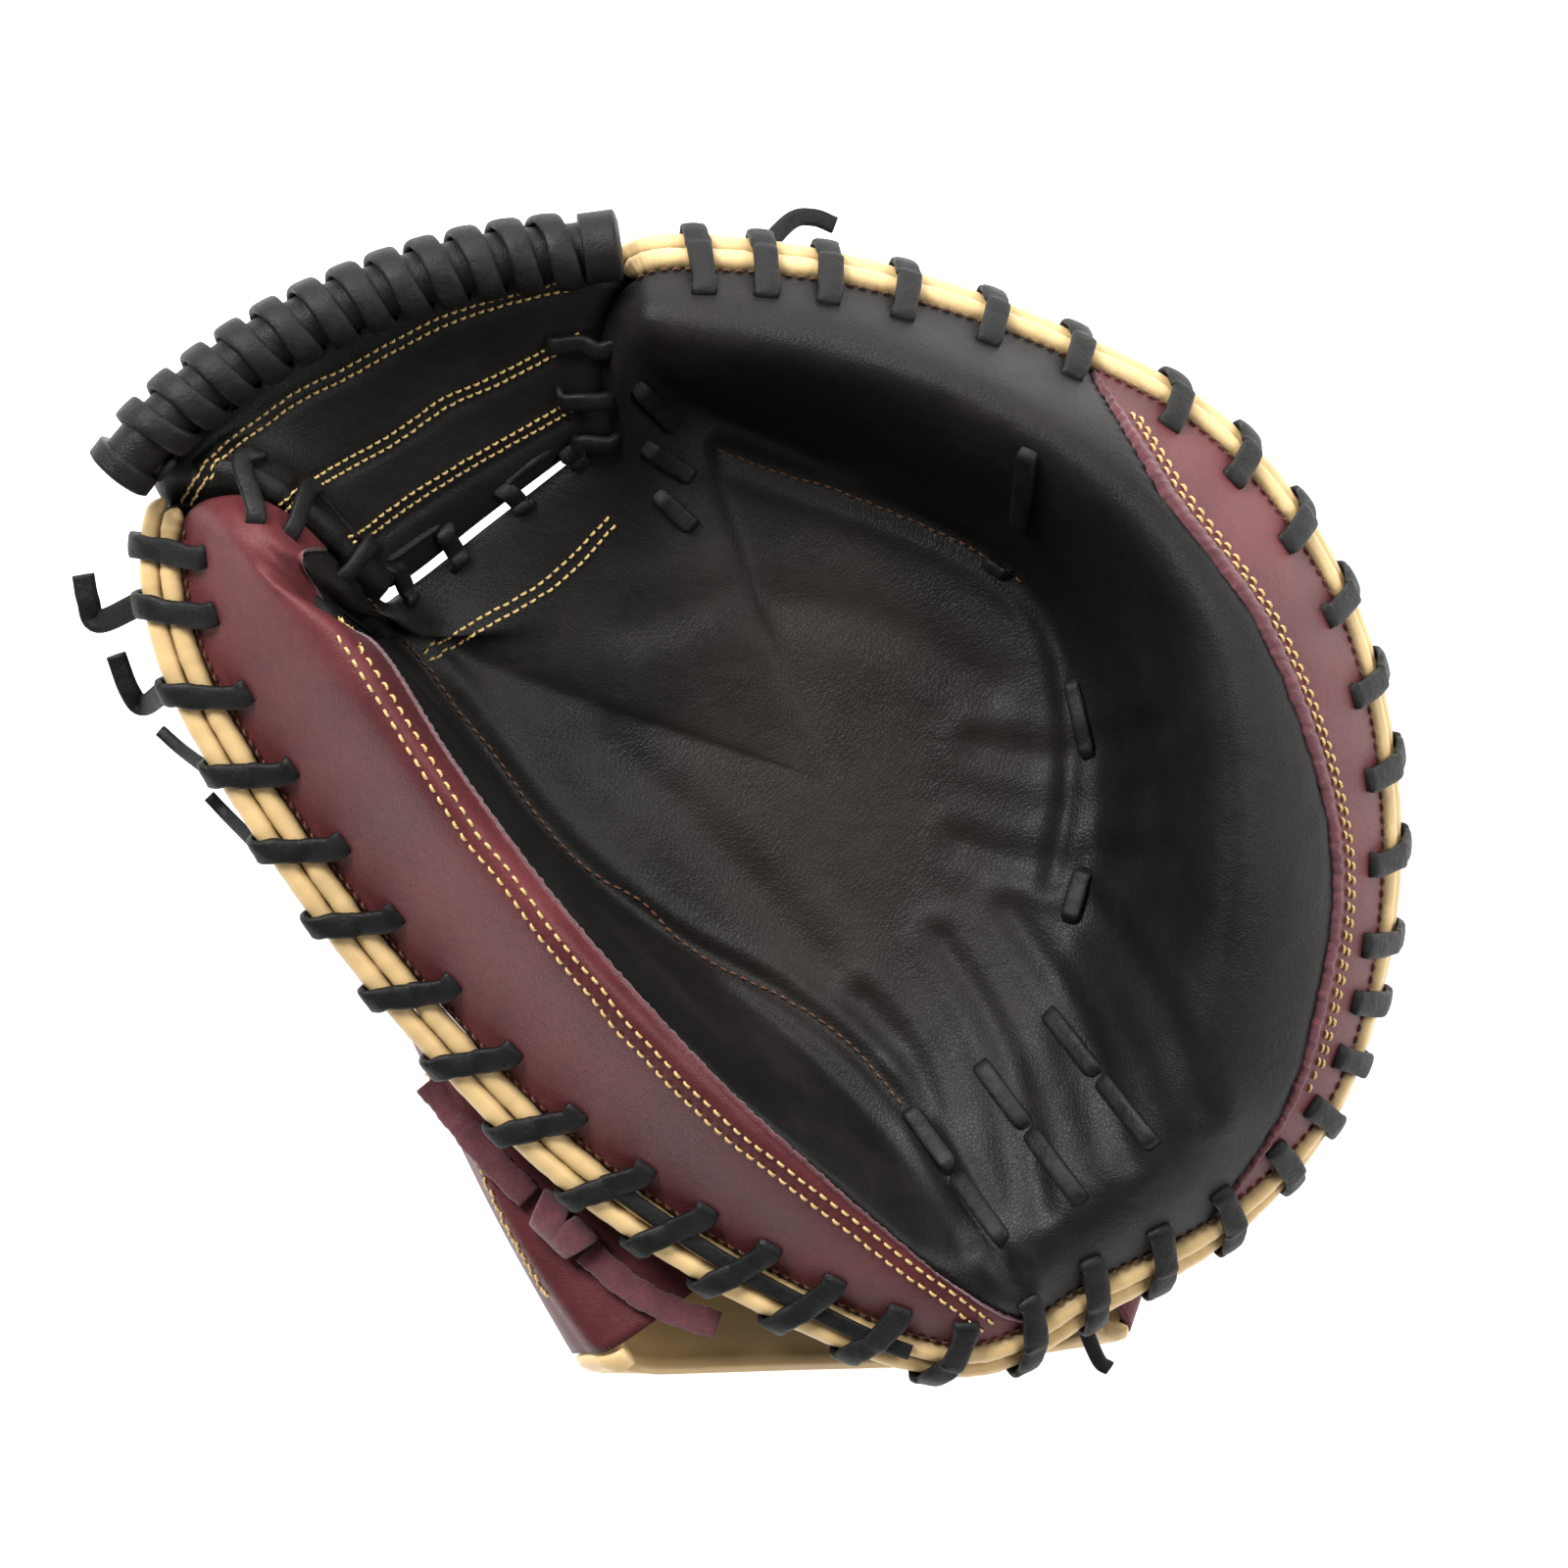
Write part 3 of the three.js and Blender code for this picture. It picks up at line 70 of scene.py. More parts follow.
WEB_LEFT, WEB_RIGHT, ROLL_SPAN = (21.9, 24.4), (18.5, 16.3), (0.05, 0.95)

# Sections round the rim: name, seam, crest, foot as shares of half the width, half the length and
# the depth, then slope, lean, pad, panel, tilt and piped
RIM = [
    ("thumb_tip", [-0.830, 0.450, 0.768], [-0.689, 0.363, 0.944], [-0.505, 0.211, 0.496], 50, 30, 0.65, 0.65, -1, 1),
    ("thumb_upper", [-0.795, 0.211, 0.704], [-0.591, 0.263, 0.976], [-0.456, 0.164, 0.416], 45, 15, 1.00, 0.70, -9, 1),
    ("thumb_mid", [-0.626, -0.112, 0.624], [-0.455, 0.030, 0.976], [-0.353, 0.014, 0.368], 45, 10, 1.00, 0.73, -11, 1),
    ("thumb_low", [-0.435, -0.392, 0.544], [-0.269, -0.245, 0.896], [-0.212, -0.167, 0.336], 45, 10, 1.00, 0.75, -11, 1),
    ("thumb_base", [-0.216, -0.643, 0.480], [-0.053, -0.507, 0.776], [-0.041, -0.313, 0.336], 45, 10, 0.95, 0.77, -11, 1),
    ("heel_thumb", [0.063, -0.849, 0.440], [0.136, -0.687, 0.656], [0.137, -0.450, 0.352], 50, 25, 0.75, 0.79, -10, 1),
    ("heel_mid", [0.335, -0.968, 0.424], [0.320, -0.836, 0.544], [0.278, -0.604, 0.376], 55, 52, 0.60, 0.83, -9, 1),
    ("heel_right", [0.531, -0.859, 0.416], [0.475, -0.751, 0.536], [0.367, -0.535, 0.392], 55, 50, 0.60, 1.12, -9, 1),
    ("little_base", [0.741, -0.726, 0.400], [0.635, -0.605, 0.592], [0.434, -0.415, 0.384], 60, 64, 0.75, 0.97, -7, 1),
    ("little_low", [0.908, -0.500, 0.400], [0.713, -0.391, 0.688], [0.486, -0.278, 0.368], 72, 84, 0.95, 0.92, 0, 1),
    ("side_mid", [0.969, -0.121, 0.432], [0.739, -0.070, 0.768], [0.527, -0.021, 0.352], 72, 75, 1.00, 0.915, 8, 1),
    ("side_upper", [0.913, 0.279, 0.496], [0.693, 0.265, 0.832], [0.487, 0.220, 0.344], 68, 75, 1.00, 0.872, 9, 1),
    ("shoulder", [0.727, 0.592, 0.576], [0.540, 0.515, 0.864], [0.375, 0.383, 0.344], 60, 66, 1.00, 0.87, 8, 1),
    ("top_right", [0.473, 0.763, 0.640], [0.331, 0.665, 0.864], [0.197, 0.494, 0.352], 58, 66, 0.90, 1.04, 6, 1),
    ("top_mid", [0.180, 0.871, 0.704], [0.132, 0.735, 0.848], [0.033, 0.559, 0.368], 55, 60, 0.80, 1.50, 4, 1),
    ("finger_tip", [-0.083, 0.901, 0.752], [-0.075, 0.775, 0.840], [-0.085, 0.596, 0.400], 55, 48, 0.85, 1.50, 3, 1),
    ("tip_corner", [-0.170, 0.870, 0.760], [-0.150, 0.780, 0.816], [-0.127, 0.603, 0.432], 55, 50, 0.40, 1.50, 0, 1),
    ("index_side", [-0.212, 0.772, 0.688], [-0.182, 0.704, 0.704], [-0.141, 0.561, 0.432], 50, 60, 0.18, 1.50, 0, 0),
    ("index_root", [-0.205, 0.629, 0.544], [-0.170, 0.589, 0.520], [-0.115, 0.493, 0.408], 25, 60, 0.18, 1.50, 0, 0),
    ("web_right", [-0.247, 0.587, 0.472], [-0.230, 0.539, 0.464], [-0.160, 0.408, 0.392], 0, 60, 0.20, 1.50, 0, 0),
    ("web_middle", [-0.381, 0.467, 0.440], [-0.352, 0.415, 0.432], [-0.234, 0.271, 0.368], 0, 60, 0.20, 1.50, 0, 0),
    ("web_left", [-0.511, 0.350, 0.464], [-0.473, 0.294, 0.448], [-0.353, 0.185, 0.376], 0, 60, 0.20, 1.50, 0, 0),
    ("thumb_root", [-0.552, 0.342, 0.640], [-0.529, 0.301, 0.624], [-0.471, 0.246, 0.416], 20, 60, 0.20, 1.30, 0, 0),
    ("thumb_inner", [-0.658, 0.466, 0.824], [-0.649, 0.397, 0.904], [-0.513, 0.263, 0.480], 45, 60, 0.28, 0.80, 0, 0),
    ("thumb_end", [-0.750, 0.507, 0.856], [-0.682, 0.391, 0.936], [-0.520, 0.237, 0.496], 55, 50, 0.45, 0.68, 0, 0),
]
WRAP_RUNS = [
    ("thumb_tip", 0.009, 0.031, 2),
    ("thumb", 0.062, 0.279, 8),
    ("heel", 0.305, 0.511, 9),
    ("little_finger", 0.536, 0.616, 5),
    ("side", 0.644, 0.822, 7),
    ("top", 0.860, 0.923, 3),
    ("finger_tip", 0.950, 0.994, 3),
]
ROLL_LINE = [
    [-0.924, 0.538, 0.856],
    [-0.877, 0.603, 0.872],
    [-0.797, 0.686, 0.880],
    [-0.674, 0.781, 0.880],
    [-0.530, 0.855, 0.864],
    [-0.386, 0.903, 0.848],
    [-0.242, 0.926, 0.824],
    [-0.178, 0.936, 0.824],
]
PALM_LACES = [
    ("heel_lace_1", [0.247, -0.549], [0.399, -0.789], 4.6),
    ("heel_lace_2", [0.354, -0.467], [0.515, -0.717], 4.8),
    ("heel_lace_3", [0.458, -0.377], [0.623, -0.618], 4.8),
    ("finger_lace_1", [0.425, 0.587], [0.419, 0.460], 5.2),
    ("finger_lace_2", [0.360, 0.412], [0.414, 0.377], 3.4),
    ("finger_lace_3", [0.497, 0.206], [0.529, 0.051], 4.2),
    ("finger_lace_4", [0.523, -0.127], [0.495, -0.237], 5),
    ("index_lace_1", [-0.160, 0.703], [-0.100, 0.631], 4.6),
    ("index_lace_2", [-0.151, 0.604], [-0.071, 0.545], 4.6),
    ("index_lace_3", [-0.133, 0.525], [-0.068, 0.456], 4.6),
]
STRAP = [
    ("sewn_start", [-0.087, -0.942, 0.320], [-0.449, -0.460, 0.368], 1, 0),
    ("rise", [-0.187, -0.971, 0.320], [-0.474, -0.446, 0.344], 0.8, 0),
    ("shoulder", [-0.243, -0.986, 0.264], [-0.492, -0.439, 0.288], 0.45, 0),
    ("side", [-0.262, -0.993, 0.176], [-0.505, -0.439, 0.192], 0.2, 0),
    ("turn", [-0.237, -1.000, 0.064], [-0.467, -0.439, 0.072], 0.05, 0),
    ("floor_thumb", [-0.162, -1.000, 0.000], [-0.374, -0.446, 0.000], 0, 0),
    ("floor_middle", [0.062, -0.993, 0.000], [-0.062, -0.453, 0.000], 0, 0),
    ("floor_wrist", [0.312, -0.986, 0.000], [0.262, -0.482, 0.000], 0, 0),
    ("floor_end", [0.486, -0.971, 0.000], [0.474, -0.604, 0.000], 0, 0),
    ("end_turn", [0.567, -0.964, 0.072], [0.611, -0.683, 0.072], 0, 0.1),
    ("end_side", [0.592, -0.942, 0.168], [0.667, -0.705, 0.168], 0, 0.4),
    ("sewn_end", [0.523, -0.849, 0.256], [0.679, -0.683, 0.256], 0, 1),
]
TAILS = [
    ("thumb_tail_1", 1, 6, [[-0.964, 0.295, 0.576], [-0.980, 0.332, 0.584], [-0.987, 0.376, 0.592]]),
    ("thumb_tail_2", 2, 5.4, [[-0.900, 0.150, 0.528], [-0.921, 0.177, 0.536], [-0.940, 0.238, 0.552]]),
    ("side_tail_1", 3, 3.4, [[-0.844, 0.075, 0.528], [-0.875, 0.106, 0.512]]),
    ("side_tail_2", 4, 3.4, [[-0.775, -0.041, 0.496], [-0.803, -0.007, 0.496]]),
    ("top_tail", 35, 4.6, [[0.072, 0.988, 0.560], [0.107, 0.996, 0.544], [0.139, 0.983, 0.536]]),
    ("heel_tail", 16, 4, [[0.541, -0.997, 0.264], [0.559, -1.015, 0.256]]),
]
TIE_TAILS = [
    ("tie_tail_upper", [[-0.479, -0.509, 0.320], [-0.440, -0.564, 0.320], [-0.390, -0.633, 0.320], [-0.324, -0.710, 0.320]]),
    ("tie_tail_lower", [[-0.238, -0.803, 0.336], [-0.175, -0.866, 0.336], [-0.110, -0.908, 0.328], [-0.038, -0.936, 0.320]]),
]
TIE_KNOT = [[-0.311, -0.724, 0.320], [-0.241, -0.802, 0.320]]

# Lines of seams and stitches, as the photo's pixels in a frame of 1600 by 1600
WEB_ROWS = (
    ((186, 512), (202, 483), (232, 451), (262, 428), (300, 401), (350, 376), (400, 348), (450, 323), (500, 306),
     (550, 293), (575, 288)),
    ((192, 520), (209, 491), (238, 459), (268, 436), (306, 409), (355, 384), (405, 356), (455, 331), (503, 314),
     (552, 301), (577, 296)),
    ((287, 514), (330, 482), (400, 442), (450, 407), (500, 385), (550, 360), (588, 341)),
    ((293, 521), (335, 490), (405, 450), (455, 415), (504, 393), (554, 368), (590, 349)),
    ((342, 560), (400, 517), (450, 484), (500, 455), (550, 427), (588, 406)),
    ((347, 567), (405, 525), (455, 492), (504, 463), (554, 435), (590, 414)),
)
FLAP_LOOP = ((432, 664), (465, 645), (500, 625), (550, 596), (585, 566), (602, 548), (618, 530))
FLAP_LOOP_INNER = ((440, 672), (472, 654), (506, 634), (556, 605), (592, 575), (609, 556), (625, 538))
DARK_ROWS = (
    ((376, 612), (400, 640), (426, 668), (450, 700), (470, 728), (506, 772), (542, 824), (574, 864), (610, 895),
     (654, 920), (690, 956), (730, 984), (810, 1024), (870, 1068), (918, 1124)),
    ((736, 460), (800, 484), (848, 498), (904, 520), (960, 544), (1000, 564), (1040, 592)),
)
STRAP_SEAMS = (
    ((436, 1092), (462, 1134), (484, 1174), (510, 1232), (532, 1276), (558, 1322)),
)
# Row of stitches on the thumb panel in pixels, and rows on the finger panel in millimetres from its border
THUMB_ROW = (
    (338, 640), (354, 664), (376, 700), (400, 738), (424, 776), (450, 818),
    (474, 856), (500, 886), (524, 918), (550, 954), (578, 988), (606, 1020), (630, 1052), (658, 1080), (686, 1110),
    (716, 1138), (744, 1164), (776, 1188), (820, 1222), (868, 1258), (920, 1298), (960, 1326), (1000, 1356),
)
FINGER_ROWS = (5.6, 7.8)
# Creases in the palm: pixels, depth and half width in millimetres
CREASES = (
    (((376, 612), (450, 700), (542, 824), (610, 895), (690, 956), (810, 1024), (918, 1124), (1040, 1310)), 1.5, 2.2),
    (((736, 460), (800, 484), (904, 520), (1000, 564), (1060, 620), (1085, 700), (1090, 800), (1072, 900)), 1.3, 2.4),
    (((640, 640), (760, 610), (900, 640), (1010, 700)), 0.8, 5.0),
    (((620, 760), (720, 850), (820, 960), (900, 1060)), 0.9, 4.5),
    (((880, 1020), (930, 1080), (960, 1180), (985, 1260)), 1.1, 3.0),
    (((960, 960), (1010, 1040), (1040, 1120), (1060, 1230)), 1.1, 3.0),
    (((1030, 930), (1090, 1020), (1120, 1090), (1150, 1180)), 1.1, 3.0),
    (((1100, 900), (1160, 980), (1200, 1060), (1230, 1130)), 1.0, 3.2),
    (((1000, 760), (1080, 770), (1180, 740)), 0.9, 3.6),
    (((980, 860), (1060, 880), (1180, 870)), 0.9, 3.6),
)

SEAM, CREST, FOOT = slice(0, 3), slice(3, 6), slice(6, 9)
SLOPE, LEAN, PAD, PANEL, TILT, PIPED = range(9, 15)
UP = np.array((0.0, 0.0, 1.0))
SPAN = np.array((WIDTH / 2, LENGTH / 2, DEPTH))
POCKET = np.array((0.137, 0.014, 0.320)) * SPAN
ROWS = np.array([np.concatenate((np.array(a) * SPAN, np.array(b) * SPAN, np.array(c) * SPAN, rest))
                 for _, a, b, c, *rest in RIM])
COUNT = len(ROWS)


def norm(v):
    return np.sqrt((v * v).sum(-1, keepdims=True))


def unit(v):
    return v / np.maximum(norm(v), 1e-9)


def mix(a, b, t):
    return a + (b - a) * t


def smooth(x, low, high):
    t = np.clip((x - low) / (high - low), 0, 1)
    return t * t * (3 - 2 * t)


def bump(x, middle, half):
    """1 at the middle, falling to 0 at half a width away."""
    return np.exp(-((x - middle) / half) ** 2)


def catmull(a, b, c, d, t):
    return 0.5 * (2 * b + (c - a) * t + (2 * a - 5 * b + 4 * c - d) * t ** 2
                  + (3 * b - a - 3 * c + d) * t ** 3)


def section(s):
    """All columns of the rim's table between two of its rows."""
    turn = np.mod(np.asarray(s, float), COUNT)
    index = np.floor(turn).astype(int)
    t = (turn - index)[..., None]
    rows = [ROWS[(index + step) % COUNT] for step in (-1, 0, 1, 2)]
    values = catmull(*rows, t)
    values[..., PIPED] = mix(rows[1][..., PIPED], rows[2][..., PIPED], t[..., 0])
    return values


class Rim:
    """Directions at the seam: along it, outwards, down the palm leather and across the piping."""

    def __init__(self, s):
        step = 0.01
        self.cut = section(s)
        ahead = section(np.asarray(s) + step)[..., SEAM] - section(np.asarray(s) - step)[..., SEAM]
        self.speed = norm(ahead)[..., 0] / (2 * step)
        self.along = unit(ahead)
        self.out = unit(np.cross(self.along, UP))
        self.seam, self.crest, self.foot = (self.cut[..., part] for part in (SEAM, CREST, FOOT))
        slope, lean = (np.radians(self.cut[..., k])[..., None] for k in (SLOPE, LEAN))
        self.down = self.out * np.cos(slope) - UP * np.sin(slope)
        self.across = self.out * np.cos(lean) - UP * np.sin(lean)
        self.top = self.out * np.sin(lean) + UP * np.cos(lean)


def hermite(p0, m0, p1, m1, t, span):
    return ((2 * t ** 3 - 3 * t ** 2 + 1) * p0 + (t ** 3 - 2 * t ** 2 + t) * span * m0
            + (3 * t ** 2 - 2 * t ** 3) * p1 + (t ** 3 - t ** 2) * span * m1)


def palm_point(s, u):
    """Front of the palm: u is 0 at the pocket centre and 1 at the seam."""
    s, u = np.broadcast_arrays(np.asarray(s, float), np.asarray(u, float))
    rim = Rim(s)
    knots = (0.0, FOOT_AT, CREST_AT, 1.0)
    points = (np.broadcast_to(POCKET, rim.seam.shape), rim.foot, rim.crest, rim.seam)
    slopes = [(points[i + 1] - points[i]) / (knots[i + 1] - knots[i]) for i in range(3)]

    def tangent(i):
        before, after = knots[i] - knots[i - 1], knots[i + 1] - knots[i]
        return (slopes[i - 1] * after + slopes[i] * before) / (before + after)
    level = slopes[0] * (1, 1, 0)
    foot = tangent(1)
    foot[..., 2] = np.minimum(foot[..., 2], FOOT_CLIMB * slopes[0][..., 2])
    tangents = (level, foot, tangent(2), rim.down * norm(slopes[2]))
    result = np.zeros_like(rim.seam)
    for i in range(3):
        span = knots[i + 1] - knots[i]
        t = ((u - knots[i]) / span)[..., None]
        inside = (u <= knots[i + 1]) if i == 0 else (u > knots[i]) & ((u <= knots[i + 1]) | (i == 2))
        piece = hermite(points[i], tangents[i], points[i + 1], tangents[i + 1], t, span)
        result = np.where(inside[..., None], piece, result)
    return result


def palm_normal(s, u):
    step = 0.004
    s, u = np.broadcast_arrays(np.asarray(s, float), np.asarray(u, float))
    held = np.maximum(u, 0.03)
    outward = palm_point(s, np.minimum(u + step, 1)) - palm_point(s, np.maximum(u - step, 0.02))
    along = palm_point(s + step, held) - palm_point(s - step, held)
    return unit(np.cross(outward, along))


def seam_inset(s, length):
    cut = section(s)
    reach = norm(cut[..., CREST] - cut[..., SEAM])[..., 0]
    return 1 - (1 - CREST_AT) * length / np.maximum(reach, FLANGE_WIDTH * 1.5)


def padding(s, u):
    rim = np.maximum(PAD_RIM * section(s)[..., PAD], PAD_POCKET)
    edge = seam_inset(s, FLANGE_WIDTH)
    low = mix(PAD_POCKET, PAD_FOOT, u / FOOT_AT)
    rise = mix(PAD_FOOT, rim, (u - FOOT_AT) / (PAD_FULL_AT - FOOT_AT))
    fall = mix(rim, PAD_FLANGE, (u - PAD_FULL_AT) / (edge - PAD_FULL_AT))
    inner = np.where(u <= PAD_FULL_AT, rise, fall)
    return np.where(u <= FOOT_AT, low, np.where(u < edge, inner, PAD_FLANGE))


def palm_rear(s, u):
    s, u = np.broadcast_arrays(np.asarray(s, float), np.asarray(u, float))
    turn = smooth(u, PAD_FULL_AT, seam_inset(s, FLANGE_WIDTH))[..., None]
    away = unit(mix(UP, palm_normal(s, u), turn))
    return palm_point(s, u) - away * padding(s, u)[..., None]


def laced_places():
    steps = 600
    s = LACED_END * np.arange(steps + 1) / steps
    seam = section(s)[:, SEAM]
    reach = np.concatenate(((0,), np.cumsum(norm(np.diff(seam, axis=0))[:, 0])))
    shares = [mix(first, last, i / (count - 1)) for _, first, last, count in WRAP_RUNS for i in range(count)]
    return np.interp(np.array(shares) * reach[-1], reach, s)


WRAPS = laced_places()


def panel_border(s):
    """Where the coloured panel begins, 1 where there is none."""
    return np.minimum(section(s)[..., PANEL], 1.0)


def roll_centre(rim, order):
    return rim.seam + rim.across * (PIPING_RADIUS + GAP + order * (2 * PIPING_RADIUS + GAP))


def back_seam(s, rim):
    piped = (roll_centre(rim, 1) + rim.across * 0.9 * PIPING_RADIUS
             - rim.top * (PIPING_RADIUS + 2 * GAP))
    plain = rim.seam - palm_normal(s, np.ones_like(s)) * (PAD_FLANGE + 9 * GAP)
    return mix(plain, piped, rim.cut[..., PIPED, None])


# ---- meshes


def to_metres(points):
    return (np.asarray(points).reshape(-1, 3) - MIDDLE) * 0.001


def sizes():
    return bpy.context.scene.mitt_sizes


def colours():
    return bpy.context.scene.mitt_colours


def piece(name, points, faces, materials, nodes=(), slot=None, marks=None, attributes=None, flat=False):
    """A finished object from points in millimetres, riding on the mitt."""
    mesh = bpy.data.meshes.new(name)
    mesh.from_pydata(to_metres(points).tolist(), [], [list(map(int, face)) for face in faces])
    for material in materials:
        mesh.materials.append(material)
    if marks is not None:
        mesh.polygons.foreach_set("material_index", np.asarray(marks, dtype=np.int32))
    if not flat:
        mesh.polygons.foreach_set("use_smooth", np.ones(len(mesh.polygons), dtype=bool))
    for key, values in (attributes or {}).items():
        layer = mesh.attributes.new(key, "FLOAT", "POINT")
        layer.data.foreach_set("value", np.asarray(values, dtype=np.float32).ravel())
    mesh.update()
    mesh.validate()
    made = bpy.data.objects.new(name, mesh)
    bpy.context.scene.collection.objects.link(made)
    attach(made, "root")
    if nodes:
        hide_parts(*nodes)
    return made


def grid_faces(rows, columns, start=0, round_rows=False, round_columns=False, flip=False):
    i = np.arange(rows if round_rows else rows - 1)
    j = np.arange(columns if round_columns else columns - 1)
    a, b = np.meshgrid(i, j, indexing="ij")
    c, d = (a + 1) % rows, (b + 1) % columns
    faces = np.stack((a * columns + b, c * columns + b, c * columns + d, a * columns + d), -1)
    faces = faces.reshape(-1, 4) + start
    return faces[:, ::-1] if flip else faces


def wall_mesh(outer, inner, round_rows=False):
    """Points and faces of a closed wall between two grids."""
    rows, columns = outer.shape[:2]
    count = rows * columns
    points = np.concatenate((outer.reshape(-1, 3), inner.reshape(-1, 3)))
    faces = [grid_faces(rows, columns, 0, round_rows), grid_faces(rows, columns, count, round_rows, flip=True)]
    i = np.arange(rows if round_rows else rows - 1)
    n = (i + 1) % rows
    for j, flip in ((0, False), (columns - 1, True)):
        rim = np.stack((i * columns + j, i * columns + j + count, n * columns + j + count, n * columns + j), -1)
        faces.append(rim[:, ::-1] if flip else rim)
    if not round_rows:
        j = np.arange(columns - 1)
        for i0, flip in ((0, True), (rows - 1, False)):
            base = i0 * columns
            rim = np.stack((base + j, base + j + count, base + j + 1 + count, base + j + 1), -1)
            faces.append(rim[:, ::-1] if flip else rim)
    faces = np.concatenate(faces)
    return points, outward(points, faces)


def outward(points, faces):
    """Faces turned so that the closed mesh has a positive volume."""
    faces = np.asarray(faces)
    a, b, c, d = (points[faces[:, k]] for k in range(4))
    volume = (np.cross(b - a, c - a) * a).sum() + (np.cross(c - a, d - a) * a).sum()
    return faces[:, ::-1] if volume < 0 else faces


def grid_normals(grid):
    return unit(np.cross(np.gradient(grid, axis=0), np.gradient(grid, axis=1)))


def chaikin(values, times=3):
    for _ in range(times):
        first, last = values[:1], values[-1:]
        near = mix(values[:-1], values[1:], 0.25)
        far = mix(values[:-1], values[1:], 0.75)
        inner = np.stack((near, far), 1).reshape(-1, values.shape[-1])
        values = np.concatenate((first, inner[1:-1], last))
    return values


def spread(path, spacing):
    """Points at even spacing along a polyline."""
    path = np.asarray(path, float)
    reach = np.concatenate(((0,), np.cumsum(norm(np.diff(path, axis=0))[:, 0])))
    count = max(int(round(reach[-1] / spacing)), 1)
    at = np.linspace(0, reach[-1], count + 1)
    return np.stack([np.interp(at, reach, path[:, k]) for k in range(path.shape[1])], -1)


def spline(points, count):
    """A smooth curve through points, at even spacing."""
    points = np.asarray(points, float)
    ends = np.concatenate((2 * points[:1] - points[1:2], points, 2 * points[-1:] - points[-2:-1]))
    t = np.linspace(0, len(points) - 1, 40 * len(points))
    i = np.minimum(np.floor(t).astype(int), len(points) - 2)
    fine = catmull(ends[i], ends[i + 1], ends[i + 2], ends[i + 3], (t - i)[:, None])
    reach = np.concatenate(((0,), np.cumsum(norm(np.diff(fine, axis=0))[:, 0])))
    at = np.linspace(0, reach[-1], count)
    return np.stack([np.interp(at, reach, fine[:, k]) for k in range(3)], -1)


STRIP = np.array(((-0.5, 0.0), (-0.49, -0.26), (-0.42, -0.44), (-0.2, -0.5), (0.2, -0.5), (0.42, -0.44),
                  (0.49, -0.26), (0.5, 0.0), (0.48, 0.3), (0.38, 0.47), (0.18, 0.55), (0.0, 0.57),
                  (-0.18, 0.55), (-0.38, 0.47), (-0.48, 0.3)))


def strip_rings(path, side, width, thickness):
    """Rings of a flat lace along a path. The table STRIP has the lace's own section."""
    path, side = np.asarray(path), np.asarray(side)
    heading = unit(np.gradient(path, axis=0))
    across = unit(side - heading * (side * heading).sum(-1, keepdims=True))
    rise = np.cross(heading, across)
    width = np.broadcast_to(np.asarray(width, float), len(path))[:, None, None]
    thickness = np.broadcast_to(np.asarray(thickness, float), len(path))[:, None, None]
    return (path[:, None] + across[:, None] * STRIP[None, :, :1] * width
            + rise[:, None] * STRIP[None, :, 1:] * thickness)


def tube_mesh(rings, start=0):
    """Points and faces of a closed tube through rings, ended by a point in the middle of each end."""
    count, sides = rings.shape[:2]
    points = np.concatenate((rings.reshape(-1, 3), rings[:1].mean(1), rings[-1:].mean(1)))
    faces = [list(face) for face in grid_faces(count, sides, 0, round_columns=True)]
    first, last = count * sides, count * sides + 1
    for k in range(0, sides):
        n = (k + 1) % sides
        faces.append([first, k, n])
        base = (count - 1) * sides
        faces.append([last, base + n, base + k])
    if tube_volume(points, faces) < 0:
        faces = [face[::-1] for face in faces]
    return points, [[v + start for v in face] for face in faces]


def tube_volume(points, faces):
    quads = np.array([face if len(face) == 4 else face + face[-1:] for face in faces])
    a, b, c, d = (points[quads[:, k]] for k in range(4))
    return (np.cross(b - a, c - a) * a).sum() + (np.cross(c - a, d - a) * a).sum()


def joined(parts):
    """Points and faces of several meshes as one."""
    points, faces, start = [], [], 0
    for some, these in parts:
        points.append(some)
        faces += [[v + start for v in face] for face in these]
        start += len(some)
    return np.concatenate(points), faces


def ribbon(path, side, width, thickness):
    return tube_mesh(strip_rings(path, side, width, thickness))


def round_tube(path, side, rise, radius, sides=20):
    angle = 2 * np.pi * np.arange(sides) / sides
    radius = np.broadcast_to(np.asarray(radius, float), len(path))[:, None, None]
    rings = path[:, None] + radius * (side[:, None] * np.cos(angle)[None, :, None]
                                      + rise[:, None] * np.sin(angle)[None, :, None])
    return tube_mesh(rings)


STITCH_STATIONS = np.array((-0.5, -0.42, -0.2, 0.2, 0.42, 0.5))
STITCH_HEIGHTS = np.array((-1.6, -0.1, 0.75, 0.75, -0.1, -1.6))
STITCH_WAISTS = np.array((0.5, 0.9, 1.0, 1.0, 0.9, 0.5))


